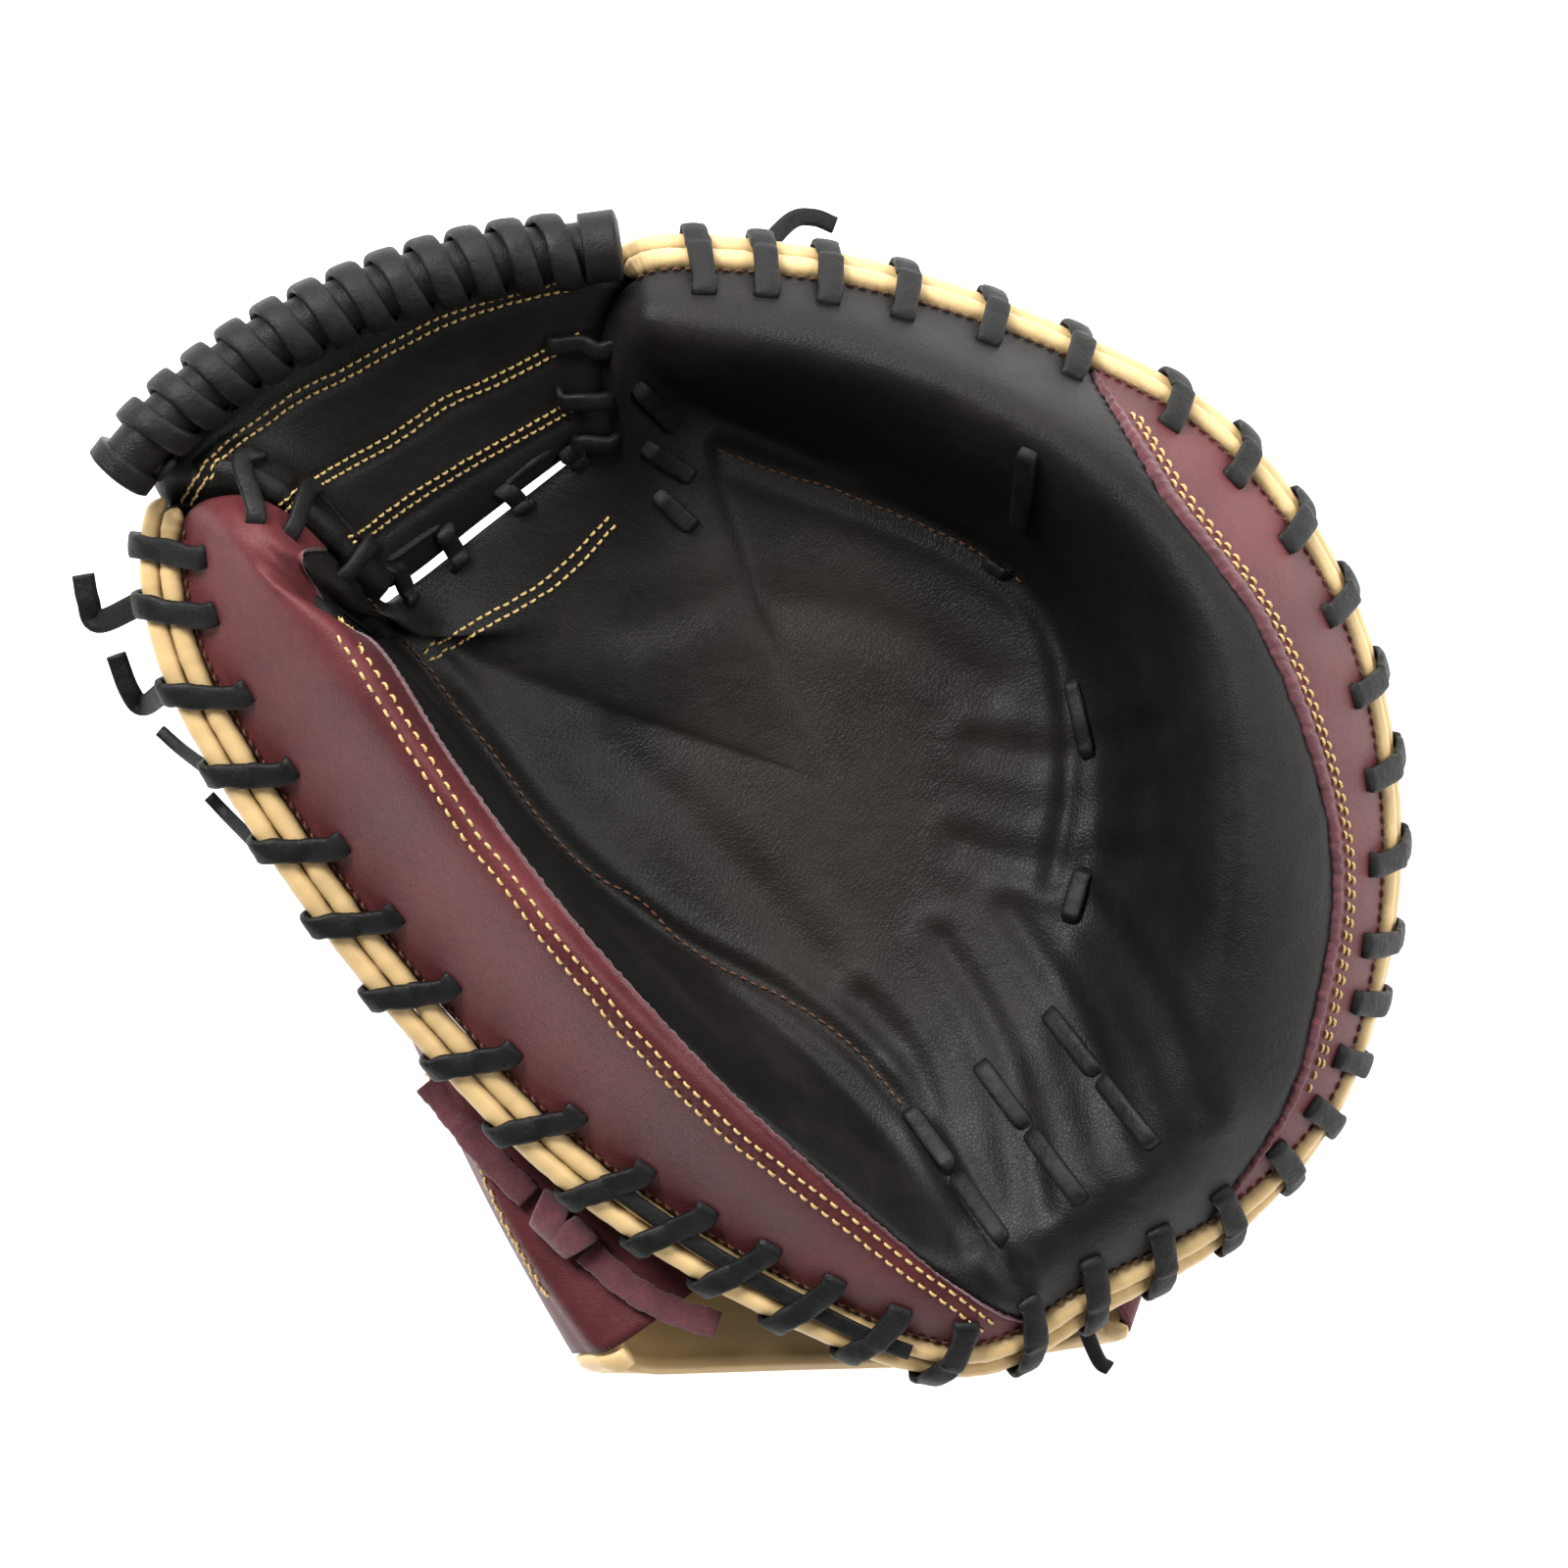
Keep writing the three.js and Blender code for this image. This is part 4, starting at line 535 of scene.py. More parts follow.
def stitch_mesh(places, headings, normals, length, radius, sides=6):
    """A thread stitch on each place, dipping into the leather at both ends."""
    headings = unit(headings - normals * (headings * normals).sum(-1, keepdims=True))
    across = np.cross(normals, headings)
    angle = 2 * np.pi * np.arange(sides) / sides
    spine = (places[:, None] + headings[:, None] * (STITCH_STATIONS * length)[None, :, None]
             + normals[:, None] * (STITCH_HEIGHTS * radius)[None, :, None])
    reach = (STITCH_WAISTS * radius)[None, :, None, None]
    rings = spine[:, :, None] + reach * (across[:, None, None] * np.cos(angle)[None, None, :, None]
                                         + normals[:, None, None] * np.sin(angle)[None, None, :, None])
    count, stations = len(places), len(STITCH_STATIONS)
    each = stations * sides
    faces = [grid_faces(stations, sides, k * each, round_columns=True) for k in range(count)]
    caps = [[k * each + v for v in range(sides)][::-1] for k in range(count)]
    caps += [[k * each + each - sides + v for v in range(sides)] for k in range(count)]
    return rings.reshape(-1, 3), [list(f) for f in np.concatenate(faces)] + caps


class Surface:
    """Points and normals of a surface, found again from a place in the plan."""

    def __init__(self, points, normals):
        points, normals = points.reshape(-1, 3), normals.reshape(-1, 3)
        shown = normals[:, 2] > 0.02
        self.points, self.normals = points[shown], normals[shown]
        self.tree = KDTree(len(self.points))
        for k, (x, y, _) in enumerate(self.points):
            self.tree.insert((x, y, 0), k)
        self.tree.balance()

    def at(self, x, y):
        found = self.tree.find_n((x, y, 0), 5)
        weight = np.array([1 / (near[2] + 0.05) for near in found])
        index = [near[1] for near in found]
        weight /= weight.sum()
        return (self.points[index] * weight[:, None]).sum(0), unit((self.normals[index] * weight[:, None]).sum(0))

    def along(self, plan, spacing, closed=False):
        """Places, headings and normals at even spacing over a path given in the plan."""
        fine = spread(spline(np.c_[np.asarray(plan, float)[:, :2], np.zeros(len(plan))], 200), spacing / 3)
        hits = [self.at(x, y) for x, y, _ in fine]
        places = spread(np.array([hit[0] for hit in hits]), spacing)
        normals = np.array([self.at(x, y)[1] for x, y, _ in places])
        return places, np.gradient(places, axis=0), normals


# The camera looks straight down. A place in the photo, in its pixels, is found at a height.
EYE = np.array((10.1, 1.9, 2400.0))
PHOTO_SCALE, PHOTO_MIDDLE = 0.235, 800.0


def from_photo(pixels, z):
    scale = PHOTO_SCALE * (EYE[2] - z) / (EYE[2] - 80)
    pixels = np.asarray(pixels, float)
    return np.stack((EYE[0] + (pixels[:, 0] - PHOTO_MIDDLE) * scale,
                     EYE[1] - (pixels[:, 1] - PHOTO_MIDDLE) * scale, np.full(len(pixels), float(z))), -1)


def drop_to(surface, pixels, z):
    """Plan places of photo pixels on a surface, found by two steps of its own height."""
    plan = from_photo(pixels, z)
    for _ in range(3):
        heights = np.array([surface.at(x, y)[0][2] for x, y, _ in plan])
        plan = np.array([from_photo([pixel], height)[0] for pixel, height in zip(pixels, heights)])
    return plan


# ---- materials


class Nodes:
    """Short way to add shader nodes to a material."""

    def __init__(self, name):
        self.material = bpy.data.materials.new(name)
        self.material.use_nodes = True
        self.tree = self.material.node_tree
        self.shader = self.tree.nodes["Principled BSDF"]
        self.place = self.add("ShaderNodeTexCoord").outputs["Object"]

    def add(self, kind, **settings):
        node = self.tree.nodes.new(kind)
        for key, value in settings.items():
            setattr(node, key, value)
        return node

    def link(self, output, socket):
        self.tree.links.new(output, socket)

    def noise(self, scale, detail=4.0, roughness=0.55, stretch=None, distortion=0.0):
        node = self.add("ShaderNodeTexNoise")
        node.inputs["Scale"].default_value = scale
        node.inputs["Detail"].default_value = detail
        node.inputs["Roughness"].default_value = roughness
        node.inputs["Distortion"].default_value = distortion
        self.link(self.stretched(stretch), node.inputs["Vector"])
        return node.outputs["Fac"]

    def stretched(self, stretch):
        if stretch is None:
            return self.place
        node = self.add("ShaderNodeMapping")
        node.inputs["Scale"].default_value = stretch
        self.link(self.place, node.inputs["Vector"])
        return node.outputs["Vector"]

    def cells(self, scale, feature="DISTANCE_TO_EDGE"):
        node = self.add("ShaderNodeTexVoronoi", feature=feature)
        node.inputs["Scale"].default_value = scale
        self.link(self.place, node.inputs["Vector"])
        return node.outputs["Distance"]

    def ramp(self, value, stops):
        node = self.add("ShaderNodeValToRGB")
        elements = node.color_ramp.elements
        elements[0].position, elements[1].position = stops[0][0], stops[-1][0]
        elements[0].color, elements[1].color = (*stops[0][1], 1), (*stops[-1][1], 1)
        for position, colour in stops[1:-1]:
            elements.new(position).color = (*colour, 1)
        self.link(value, node.inputs["Fac"])
        return node.outputs["Color"]

    def span(self, value, low, high, to_low=0.0, to_high=1.0):
        node = self.add("ShaderNodeMapRange")
        for key, number in zip(("From Min", "From Max", "To Min", "To Max"), (low, high, to_low, to_high)):
            node.inputs[key].default_value = number
        self.link(value, node.inputs["Value"])
        return node.outputs["Result"]

    def math(self, operation, a, b):
        node = self.add("ShaderNodeMath", operation=operation)
        for socket, value in zip(node.inputs, (a, b)):
            if isinstance(value, (int, float)):
                socket.default_value = value
            else:
                self.link(value, socket)
        return node.outputs["Value"]

    def attribute(self, name):
        return self.add("ShaderNodeAttribute", attribute_name=name).outputs["Fac"]

    def blend(self, factor, a, b):
        node = self.add("ShaderNodeMix", data_type="RGBA")
        colour_a, colour_b = node.inputs[6], node.inputs[7]
        for socket, value in ((colour_a, a), (colour_b, b)):
            if isinstance(value, (tuple, list)):
                socket.default_value = (*value[:3], 1)
            else:
                self.link(value, socket)
        self.link(factor, node.inputs[0])
        return node.outputs[2]

    def relief(self, layers):
        """Bump nodes in a chain: each layer is a height, its strength and its depth in metres."""
        normal = None
        for height, strength, depth in layers:
            node = self.add("ShaderNodeBump")
            node.inputs["Strength"].default_value = strength
            node.inputs["Distance"].default_value = depth
            self.link(height, node.inputs["Height"])
            if normal is not None:
                self.link(normal, node.inputs["Normal"])
            normal = node.outputs["Normal"]
        self.link(normal, self.shader.inputs["Normal"])


def shade(colour, factor):
    return tuple(min(1.0, channel * factor) for channel in colour[:3])


def grain_leather(name, colour, light=1.6, warm=(1.0, 1.0, 1.0), roughness=(0.42, 0.6), folds=0.35, pocket=False):
    """Smooth full-grain leather with pores, soft folds and uneven dye."""
    n = Nodes(name)
    patches = n.noise(28, 5, 0.6)
    specks = n.noise(420, 3, 0.6)
    tone = n.ramp(n.math("ADD", n.math("MULTIPLY", patches, 0.8), n.math("MULTIPLY", specks, 0.25)), (
        (0.36, shade(colour, 0.72)), (0.52, shade(colour, 1.0)),
        (0.70, tuple(c * light * w for c, w in zip(colour[:3], warm)))))
    if pocket:
        worn = n.attribute("worn")
        tone = n.blend(worn, tone, n.ramp(patches, ((0.3, (0.010, 0.0075, 0.006)), (0.7, (0.026, 0.018, 0.013)))))
    n.link(tone, n.shader.inputs["Base Color"])
    n.link(n.span(patches, 0.3, 0.7, *roughness), n.shader.inputs["Roughness"])
    n.shader.inputs["Specular IOR Level"].default_value = 0.26
    pores = n.span(n.cells(950), 0.0, 0.16)
    creases = n.noise(75, 6, 0.62, (1.0, 1.35, 1.0), 0.8)
    swell = n.noise(17, 3, 0.5)
    n.relief(((swell, folds, 0.004), (creases, folds * 0.8, 0.0012), (pores, 0.28, 0.0002)))
    return n.material


def suede(name, colour):
    """Raw flesh side of leather: matt, with a short uneven nap."""
    n = Nodes(name)
    nap = n.noise(900, 5, 0.75)
    patches = n.noise(160, 4, 0.6)
    n.link(n.ramp(n.math("ADD", n.math("MULTIPLY", nap, 0.6), n.math("MULTIPLY", patches, 0.4)), (
        (0.34, shade(colour, 0.55)), (0.55, shade(colour, 1.0)), (0.72, shade(colour, 1.75)))),
        n.shader.inputs["Base Color"])
    n.shader.inputs["Roughness"].default_value = 0.95
    n.shader.inputs["Specular IOR Level"].default_value = 0.15
    n.shader.inputs["Sheen Weight"].default_value = 0.35
    n.shader.inputs["Sheen Roughness"].default_value = 0.6
    n.relief(((patches, 0.6, 0.0008), (nap, 0.9, 0.0006)))
    return n.material


def piping_leather(name, colour):
    """Smooth cream leather, darkened by painted shade in the grooves, on its underside and beside the laces."""
    n = Nodes(name)
    patches = n.noise(60, 4, 0.55)
    fine = n.noise(520, 3, 0.6)
    tone = n.ramp(patches, ((0.3, shade(colour, 0.86)), (0.6, colour[:3])))
    # Painted shade: the mask, varied a little by noise, darkens the cream towards a third of its value where light
    # falls less.
    painted_shade = n.span(n.math("MULTIPLY", n.attribute("shade_mask"), n.span(fine, 0.3, 0.7, 0.7, 1.1)), 0.0, 1.0)
    n.link(n.blend(painted_shade, tone, shade(colour, 0.34)), n.shader.inputs["Base Color"])
    n.link(n.span(patches, 0.3, 0.7, 0.36, 0.5), n.shader.inputs["Roughness"])
    n.shader.inputs["Specular IOR Level"].default_value = 0.5
    n.shader.inputs["Subsurface Weight"].default_value = 0.04
    n.shader.inputs["Subsurface Radius"].default_value = (0.002, 0.001, 0.0005)
    n.relief(((patches, 0.3, 0.0012), (n.span(n.cells(1100), 0, 0.15), 0.12, 0.00012), (fine, 0.15, 0.0002)))
    return n.material


def lace_leather(name, colour):
    """Rawhide lace: waxed black and fibrous, its tone uneven in patches."""
    n = Nodes(name)
    patches = n.noise(140, 4, 0.6)
    fibres = n.noise(700, 5, 0.7)
    n.link(n.ramp(n.math("ADD", n.math("MULTIPLY", patches, 0.5), n.math("MULTIPLY", fibres, 0.5)), (
        (0.35, shade(colour, 0.6)), (0.55, shade(colour, 1.0)), (0.75, shade(colour, 2.4)))),
        n.shader.inputs["Base Color"])
    n.link(n.span(patches, 0.3, 0.7, 0.42, 0.66), n.shader.inputs["Roughness"])
    n.shader.inputs["Specular IOR Level"].default_value = 0.3
    n.relief(((patches, 0.5, 0.0012), (fibres, 0.5, 0.0004)))
    return n.material


def thread(name, colour):
    """Waxed thread with its twist."""
    n = Nodes(name)
    twist = n.add("ShaderNodeTexWave", wave_type="BANDS", bands_direction="DIAGONAL")
    twist.inputs["Scale"].default_value = 700
    n.link(n.place, twist.inputs["Vector"])
    n.link(n.ramp(twist.outputs["Fac"], ((0.1, shade(colour, 0.62)), (0.6, colour[:3]))),
           n.shader.inputs["Base Color"])
    n.shader.inputs["Roughness"].default_value = 0.55
    n.relief(((twist.outputs["Fac"], 0.5, 0.0002),))
    return n.material


FINISHES = {}


def finish(key):
    """One material for each finish, made when it is first asked for."""
    if key not in FINISHES:
        c = colours()
        makers = {
            "black": lambda: grain_leather("black_grain", c.black, 1.7, (1.05, 1.0, 0.95), (0.44, 0.62), 0.4),
            "palm": lambda: grain_leather("palm_grain", c.black, 1.7, (1.08, 1.0, 0.92), (0.40, 0.58), 0.4, True),
            "maroon": lambda: grain_leather("maroon_grain", c.maroon, 1.45, (1.0, 1.1, 1.05), (0.40, 0.52), 0.25),
            "suede": lambda: suede("maroon_suede", c.suede),
            "cream": lambda: piping_leather("cream_piping", c.cream),
            "lace": lambda: lace_leather("black_lace", c.lace),
            "thread": lambda: thread("cream_thread", c.thread),
            "dark_thread": lambda: thread("brown_thread", c.dark_thread),
        }
        FINISHES[key] = makers[key]()
    return FINISHES[key]


# ---- palm, panels, piping and back


def dome_faces(centre, ring, count, flip):
    k = np.arange(count)
    n = (k + 1) % count
    return [[centre, a, b] if flip else [centre, b, a] for a, b in zip(ring + k, ring + n)]


def line_distance(points, path):
    """Distance in the plan from points to a polyline."""
    best = np.full(len(points), 1e9)
    for a, b in zip(path[:-1, :2], path[1:, :2]):
        t = np.clip(((points[:, :2] - a) @ (b - a)) / max(((b - a) ** 2).sum(), 1e-9), 0, 1)
        gap = points[:, :2] - (a + t[:, None] * (b - a))
        best = np.minimum(best, np.hypot(gap[:, 0], gap[:, 1]))
    return best


FINE_S, FINE_U = 440, 96
SURFACES = {}


def calmed(points, s, u):
    """The pocket's rings, evened out round the centre and below the web."""
    count = len(points)
    plan = points[..., :2] - POCKET[:2]
    angle = np.unwrap(np.arctan2(plan[..., 1], plan[..., 0]), axis=0)
    rising = (np.maximum.accumulate(angle) + np.minimum.accumulate(angle[::-1])[::-1]) / 2
    steady = angle[:1] + 2 * np.pi * np.arange(count)[:, None] / count
    turned = mix(angle, mix(rising, steady, 0.12), 1 - smooth(u, 0.50, 0.72))
    reach = norm(plan)
    points = np.concatenate((POCKET[:2] + reach * np.stack((np.cos(turned), np.sin(turned)), -1),
                             points[..., 2:]), -1)
    waves = np.abs(np.fft.fftfreq(count, 1 / count))[:, None]
    spectrum = np.fft.fft(points, axis=0)

    def evened(reach):
        damping = np.exp(-0.5 * (2 * np.pi * np.maximum(waves - 2, 0) * reach) ** 2)
        return np.real(np.fft.ifft(spectrum * damping[..., None], axis=0))
    near_centre = evened(0.052 * (1 - smooth(u, 0.30, 0.78)))
    below_web = smooth(s, 15.4, 17.6) * (1 - smooth(s, 22.6, 24.4)) * (1 - smooth(u, 0.60, 0.97))
    return mix(near_centre, evened(0.05 + 0 * u), below_web[..., None])


def palm_front(relief=True):
    s = np.linspace(0, COUNT, FINE_S, endpoint=False)[:, None]
    u = np.linspace(0.015, 1, FINE_U)[None]
    points = calmed(palm_point(s, u), s, u)
    around = np.roll(points, -1, axis=0) - np.roll(points, 1, axis=0)
    normals = unit(np.cross(np.gradient(points, axis=1), around))
    border = panel_border(s)
    sunk = (PANEL_WALL + GAP) * smooth(u, border - 0.004, border + 0.006)
    flat = points.reshape(-1, 3)
    depth = np.zeros(len(flat))
    if relief:
        heights = flat[:, 2]
        for pixels, dip, half in CREASES:
            path = spline(from_photo(pixels, 50), 60)
            level = np.median(heights[line_distance(flat, path) < 6]) if len(flat) else 50
            path = spline(from_photo(pixels, level), 60)
            gap = line_distance(flat, path)
            depth += dip * (np.exp(-(gap / half) ** 2) - 0.45 * np.exp(-((gap - 2 * half) / half) ** 2))
    depth = depth.reshape(points.shape[:2]) * (1 - smooth(u, border - 0.03, border))
    return points - normals * (sunk + depth)[..., None], normals, s, u


def make_palm():
    front, _, s, u = palm_front()
    rear_u = np.array((1, 0.985, 0.965, 0.94, 0.91, 0.88, 0.84, 0.79, 0.74, 0.68, 0.6, 0.5, 0.38, 0.24, 0.1))[None]
    rear = palm_rear(s, rear_u)
    columns = FINE_U
    first, back = FINE_S * FINE_U, rear_u.shape[1]
    points = np.concatenate((front.reshape(-1, 3), rear.reshape(-1, 3), POCKET[None], (POCKET - UP * PAD_POCKET)[None]))
    faces = [list(f) for f in grid_faces(FINE_S, columns, 0, round_rows=True, flip=True)]
    faces += [list(f) for f in grid_faces(FINE_S, back, first, round_rows=True, flip=True)]
    k = np.arange(FINE_S)
    n = (k + 1) % FINE_S
    edge = np.stack((k * columns + columns - 1, first + k * back, first + n * back, n * columns + columns - 1), -1)
    faces += [list(f) for f in edge[:, ::-1]]
    last = first + FINE_S * back
    faces += [[last, a, b] for a, b in zip(k * columns, n * columns)]
    faces += [[last + 1, b, a] for a, b in zip(first + k * back + back - 1, first + n * back + back - 1)]
    if tube_volume(points, faces) < 0:
        faces = [f[::-1] for f in faces]
    spot = from_photo([(850, 790)], 45)[0]
    away = np.hypot((points[:, 0] - spot[0]) / 52, (points[:, 1] - spot[1]) / 66)
    worn = 1 - smooth(away, 0.35, 1.15)
    made = piece("palm_leather", points, faces, [finish("palm")], ("palm",), "black_leather", attributes={"worn": worn})


PANEL_SPANS = {"thumb_panel": (22.93, 32.0), "finger_panel": (7.86, 13.33)}


def panel_span(name):
    low, high = PANEL_SPANS[name]
    s = np.linspace(low - 1.5, high + 1.5, 900)
    inside = s[section(s)[:, PANEL] < 0.985]
    middle = (low + high) / 2
    inside = inside[np.abs(inside - middle) < (high - low) / 2 + 0.7]
    return inside.min(), inside.max()


def make_panel(name, count):
    low, high = panel_span(name)
    s = np.linspace(low, high, count)[:, None]
    band_share = 0.115 if name == "finger_panel" else 0.042
    share = np.concatenate((np.linspace(0, band_share, 6), np.linspace(band_share + 0.02, 1, 30)))[None]
    border = panel_border(s) + 0.0016 * np.sin(s * 61) * np.sin(s * 23.7) + 0.0009 * np.sin(s * 137)
    u = mix(border, 1.0, share)
    points, normals = palm_point(s, u), palm_normal(s, u)
    raised = (0.9 + 0.16 * np.sin(s * 97)) * np.sin(np.pi * np.clip(share / (band_share * 1.05), 0, 1)) ** 0.6
    lip = np.where(share == 0, 0.9, 0.0)
    outer = points + normals * (raised - lip)[..., None]
    inner = points - normals * PANEL_WALL
    mesh, faces = wall_mesh(outer, inner)
    cells = outer.shape[0] - 1, outer.shape[1] - 1
    marks = np.zeros(len(faces), int)
    band = 5
    column = np.tile(np.arange(cells[1]), cells[0])
    marks[:len(column)] = column < band
    marks[2 * len(column):] = 1
    piece(name + "_leather", mesh, faces, [finish("maroon"), finish("suede")], (name,), "maroon_leather", marks=marks)
    SURFACES[name] = Surface(outer, grid_normals_up(outer))


def grid_normals_up(grid):
    normals = grid_normals(grid)
    return normals * np.where(normals[..., 2:] < 0, -1, 1)


def make_piping(name, order):
    s = np.concatenate((np.linspace(PIPING_START, PIPING_END, 1000),))
    rim = Rim(s)
    shift = 0.35 if order == 0 else 0.8
    laced = np.zeros(len(s))
    for place in WRAPS:
        at = place + shift * section(place)[TILT] / Rim(np.array([place])).speed[0]
        reach = np.abs(s - at) * rim.speed / (LACE_WIDTH * 0.62)
        laced = np.maximum(laced, np.exp(-reach ** 4))
    wave = 0.10 * np.sin(s * 37.0) + 0.07 * np.sin(s * 71.0 + order)
    radius = PIPING_RADIUS * (1.05 - 0.10 * laced) + wave * 0.5
    ends = np.minimum(s - PIPING_START, PIPING_END - s) * rim.speed
    radius = radius * np.sqrt(np.clip(ends / 2.0, 0.05, 1))
    sides = 22
    points, faces = round_tube(roll_centre(rim, order), rim.top, rim.across, radius, sides)
    angle = np.tile(2 * np.pi * np.arange(sides) / sides, len(s))
    # Mask of painted shade: the roll's underside, its sides against the other roll and the leather under the lace
    # wraps.
    low = np.clip(-np.cos(angle - 0.0), 0, 1)
    beside = np.clip(np.abs(np.sin(angle)) ** 6, 0, 1)
    near = np.maximum(laced, 0.0).repeat(sides)
    shade_mask = np.clip(0.75 * low + 0.85 * beside + 0.35 * near, 0, 1)
    shade_mask = np.concatenate((shade_mask, (0.5, 0.5)))
    piece(name + "_roll", points, faces, [finish("cream")], (name,), "cream_leather", attributes={"shade_mask": shade_mask})


def back_curve(s, fine=14):
    """Rows of the back leather: down the flange, round to the rest surface, to the hand opening."""
    rim = Rim(s)
    start = back_seam(s, rim)
    away = start - HAND_OPENING
    angle = np.arctan2(away[:, 1], away[:, 0])
    border = HAND_OPENING + np.stack((HAND_OPENING_HALF[0] * np.cos(angle),
                                      HAND_OPENING_HALF[1] * np.sin(angle), 0 * angle), -1)
    touch = mix(start * (1, 1, 0), border, 0.55)
    piped = rim.cut[:, PIPED, None]
    fall = -unit(mix(UP, rim.top, piped))
    top = start + fall * FLANGE_DEPTH
    reach = norm(top - touch)
    drop = np.minimum((top[:, 2:] - BACK_TURN) / -fall[:, 2:], (0.8 - 0.35 * piped) * reach)
    inward = unit(border - touch)
    controls = (top, top + fall * drop, touch - inward * 0.4 * reach, touch)
    rows = [mix(start, top, t) for t in (0, 0.33, 0.66)]
    for t in np.linspace(0, 1, fine):
        a, b, c, d = (1 - t) ** 3, 3 * t * (1 - t) ** 2, 3 * t ** 2 * (1 - t), t ** 3
        rows.append(a * controls[0] + b * controls[1] + c * controls[2] + d * controls[3])
    rows += [mix(touch, border, t) for t in (0.2, 0.4, 0.6, 0.8, 0.93, 1)]
    return np.stack(rows, 1), 3


def make_back(name, first, last, count, flange_only=False):
    s = np.linspace(first, last, count)
    outer, flange = back_curve(s)
    if flange_only:
        outer = outer[:, :flange + 1]
    towards = np.gradient(outer, axis=1)
    along = np.gradient(outer, axis=0)
    inwards = unit(np.cross(along, towards))
    rim = Rim(s)
    wrong = ((inwards * rim.out[:, None]).sum(-1) > 0) & (inwards[..., 2] < 0.5)
    inwards = np.where((wrong | (inwards[..., 2] < -0.5))[..., None], -inwards, inwards)
    if not flange_only:
        inwards[:, -6:] = UP
    inner = outer + inwards * BACK_WALL
    points, faces = wall_mesh(outer, inner)
    piece(name + "_leather", points, faces, [finish("black")], (name,), "black_leather")
    if not flange_only:
        SURFACES[name] = (s, outer)


# ---- laces


def wrap_steps(s):
    s = np.array([float(s)])
    rim = Rim(s)
    u = seam_inset(s, HOLE_INSET)
    hole, face, thickness = palm_point(s, u), palm_normal(s, u), padding(s, u)[:, None]
    lift = LACE_THICKNESS / 2 + LACE_CLEARANCE * 0.55
    bulge = np.maximum(0, ((palm_point(s, (1 + u) / 2) - mix(hole, rim.seam, 0.5)) * face).sum(-1, keepdims=True))
    tilt = rim.cut[:, TILT] / rim.speed

    def over(share, order, reach):
        near = Rim(s + share * tilt)
        direction = unit(near.top * reach[0] + near.across * reach[1])
        return roll_centre(near, order) + direction * (PIPING_RADIUS + lift), near.along
    far = Rim(s + tilt)
    low = back_seam(s + tilt, far) - far.top * HOLE_INSET
    steps = [
        (hole - face * (thickness + lift + 2 * GAP), rim.along),
        (hole - face * (thickness * 0.4), rim.along),
        (hole + face * (lift * 0.15) - rim.down * 1.0, rim.along),
        (hole + face * (lift + bulge * 0.8) + rim.down * 1.6, rim.along),
        over(0.30, 0, (0.96, -0.28)),
        over(0.42, 0, (0.96, 0.30)),
        over(0.66, 1, (0.97, -0.10)),
        over(0.80, 1, (0.72, 0.70)),
        over(0.95, 1, (0.05, 1)),
        (low + far.across * lift, far.along),
        (low - far.across * (BACK_WALL + lift + GAP), far.along),
    ]
    return [(point[0], side[0]) for point, side in steps], (s + tilt)[0]


def make_edge_lace():
    parts, steps = [], []
    for k, s in enumerate(WRAPS):
        steps += wrap_steps(s)[0]
    points = np.array([p for p, _ in steps])
    sides = np.array([d for _, d in steps])
    count = len(points) * 5
    t = np.linspace(0, len(points) - 1, count)
    i = np.clip(np.floor(t).astype(int), 0, len(points) - 2)
    ends = np.concatenate((points[:1], points, points[-1:]))
    fine = catmull(ends[i], ends[i + 1], ends[i + 2], ends[i + 3], (t - i)[:, None])
    fine_sides = mix(sides[i], sides[i + 1], (t - i)[:, None])
    width = sizes().lace_width * (1.02 + 0.05 * np.sin(t * 1.9) + 0.03 * np.sin(t * 5.3))
    rim = Rim(np.linspace(WRAPS[9] - 0.06, WRAPS[13] + 0.12, 160))
    lean = unit(rim.top * 0.95 - rim.across * 0.25)
    flat_run = roll_centre(rim, 0) + lean * (PIPING_RADIUS + 0.75)
    over_roll = ribbon(flat_run, np.cross(rim.along, lean), LACE_WIDTH * 0.72, 1.3)
    points, faces = joined([ribbon(fine, fine_sides, width, LACE_THICKNESS), over_roll])
    piece("edge_lace_leather", points, faces, [finish("lace")], ("edge_lace",), "lace_leather")


def roll_line():
    fine = spline(np.array(ROLL_LINE) * SPAN, 400)
    along = unit(np.gradient(fine, axis=0))
    inward = -unit(np.cross(UP, along))
    rise = unit(np.cross(along, inward))
    rise *= np.where(rise[:, 2:] < 0, -1, 1)
    return fine, along, inward, rise


ROLL = roll_line()
ROLL_LACE_RADIUS = (ROLL_RADIUS + GAP + ROLL_LACE_THICKNESS / 2) / np.cos(np.pi / 6)


def roll_at(t):
    grid = np.linspace(0, 1, 400)
    return [np.stack([np.interp(t, grid, part[:, k]) for k in range(3)], -1) for part in ROLL]


def web_edge(s):
    rim = Rim(s)
    return rim.seam + rim.out * WEB_MARGIN


def web_top(i):
    point, _, inward, rise = roll_at(mix(*ROLL_SPAN, i))
    return point + (inward * 0.6 - rise * 0.8) * (ROLL_LACE_RADIUS + (ROLL_LACE_THICKNESS + WEB_WALL) / 2 + GAP)


def web_side(i, j):
    run = WEB_LEFT if i == 0 else WEB_RIGHT
    offset = web_top(np.array([float(i)]))[0] - web_edge(np.array([float(run[1])]))[0]
    return web_edge(mix(run[0], run[1], j)) + offset * (j * j)[..., None]


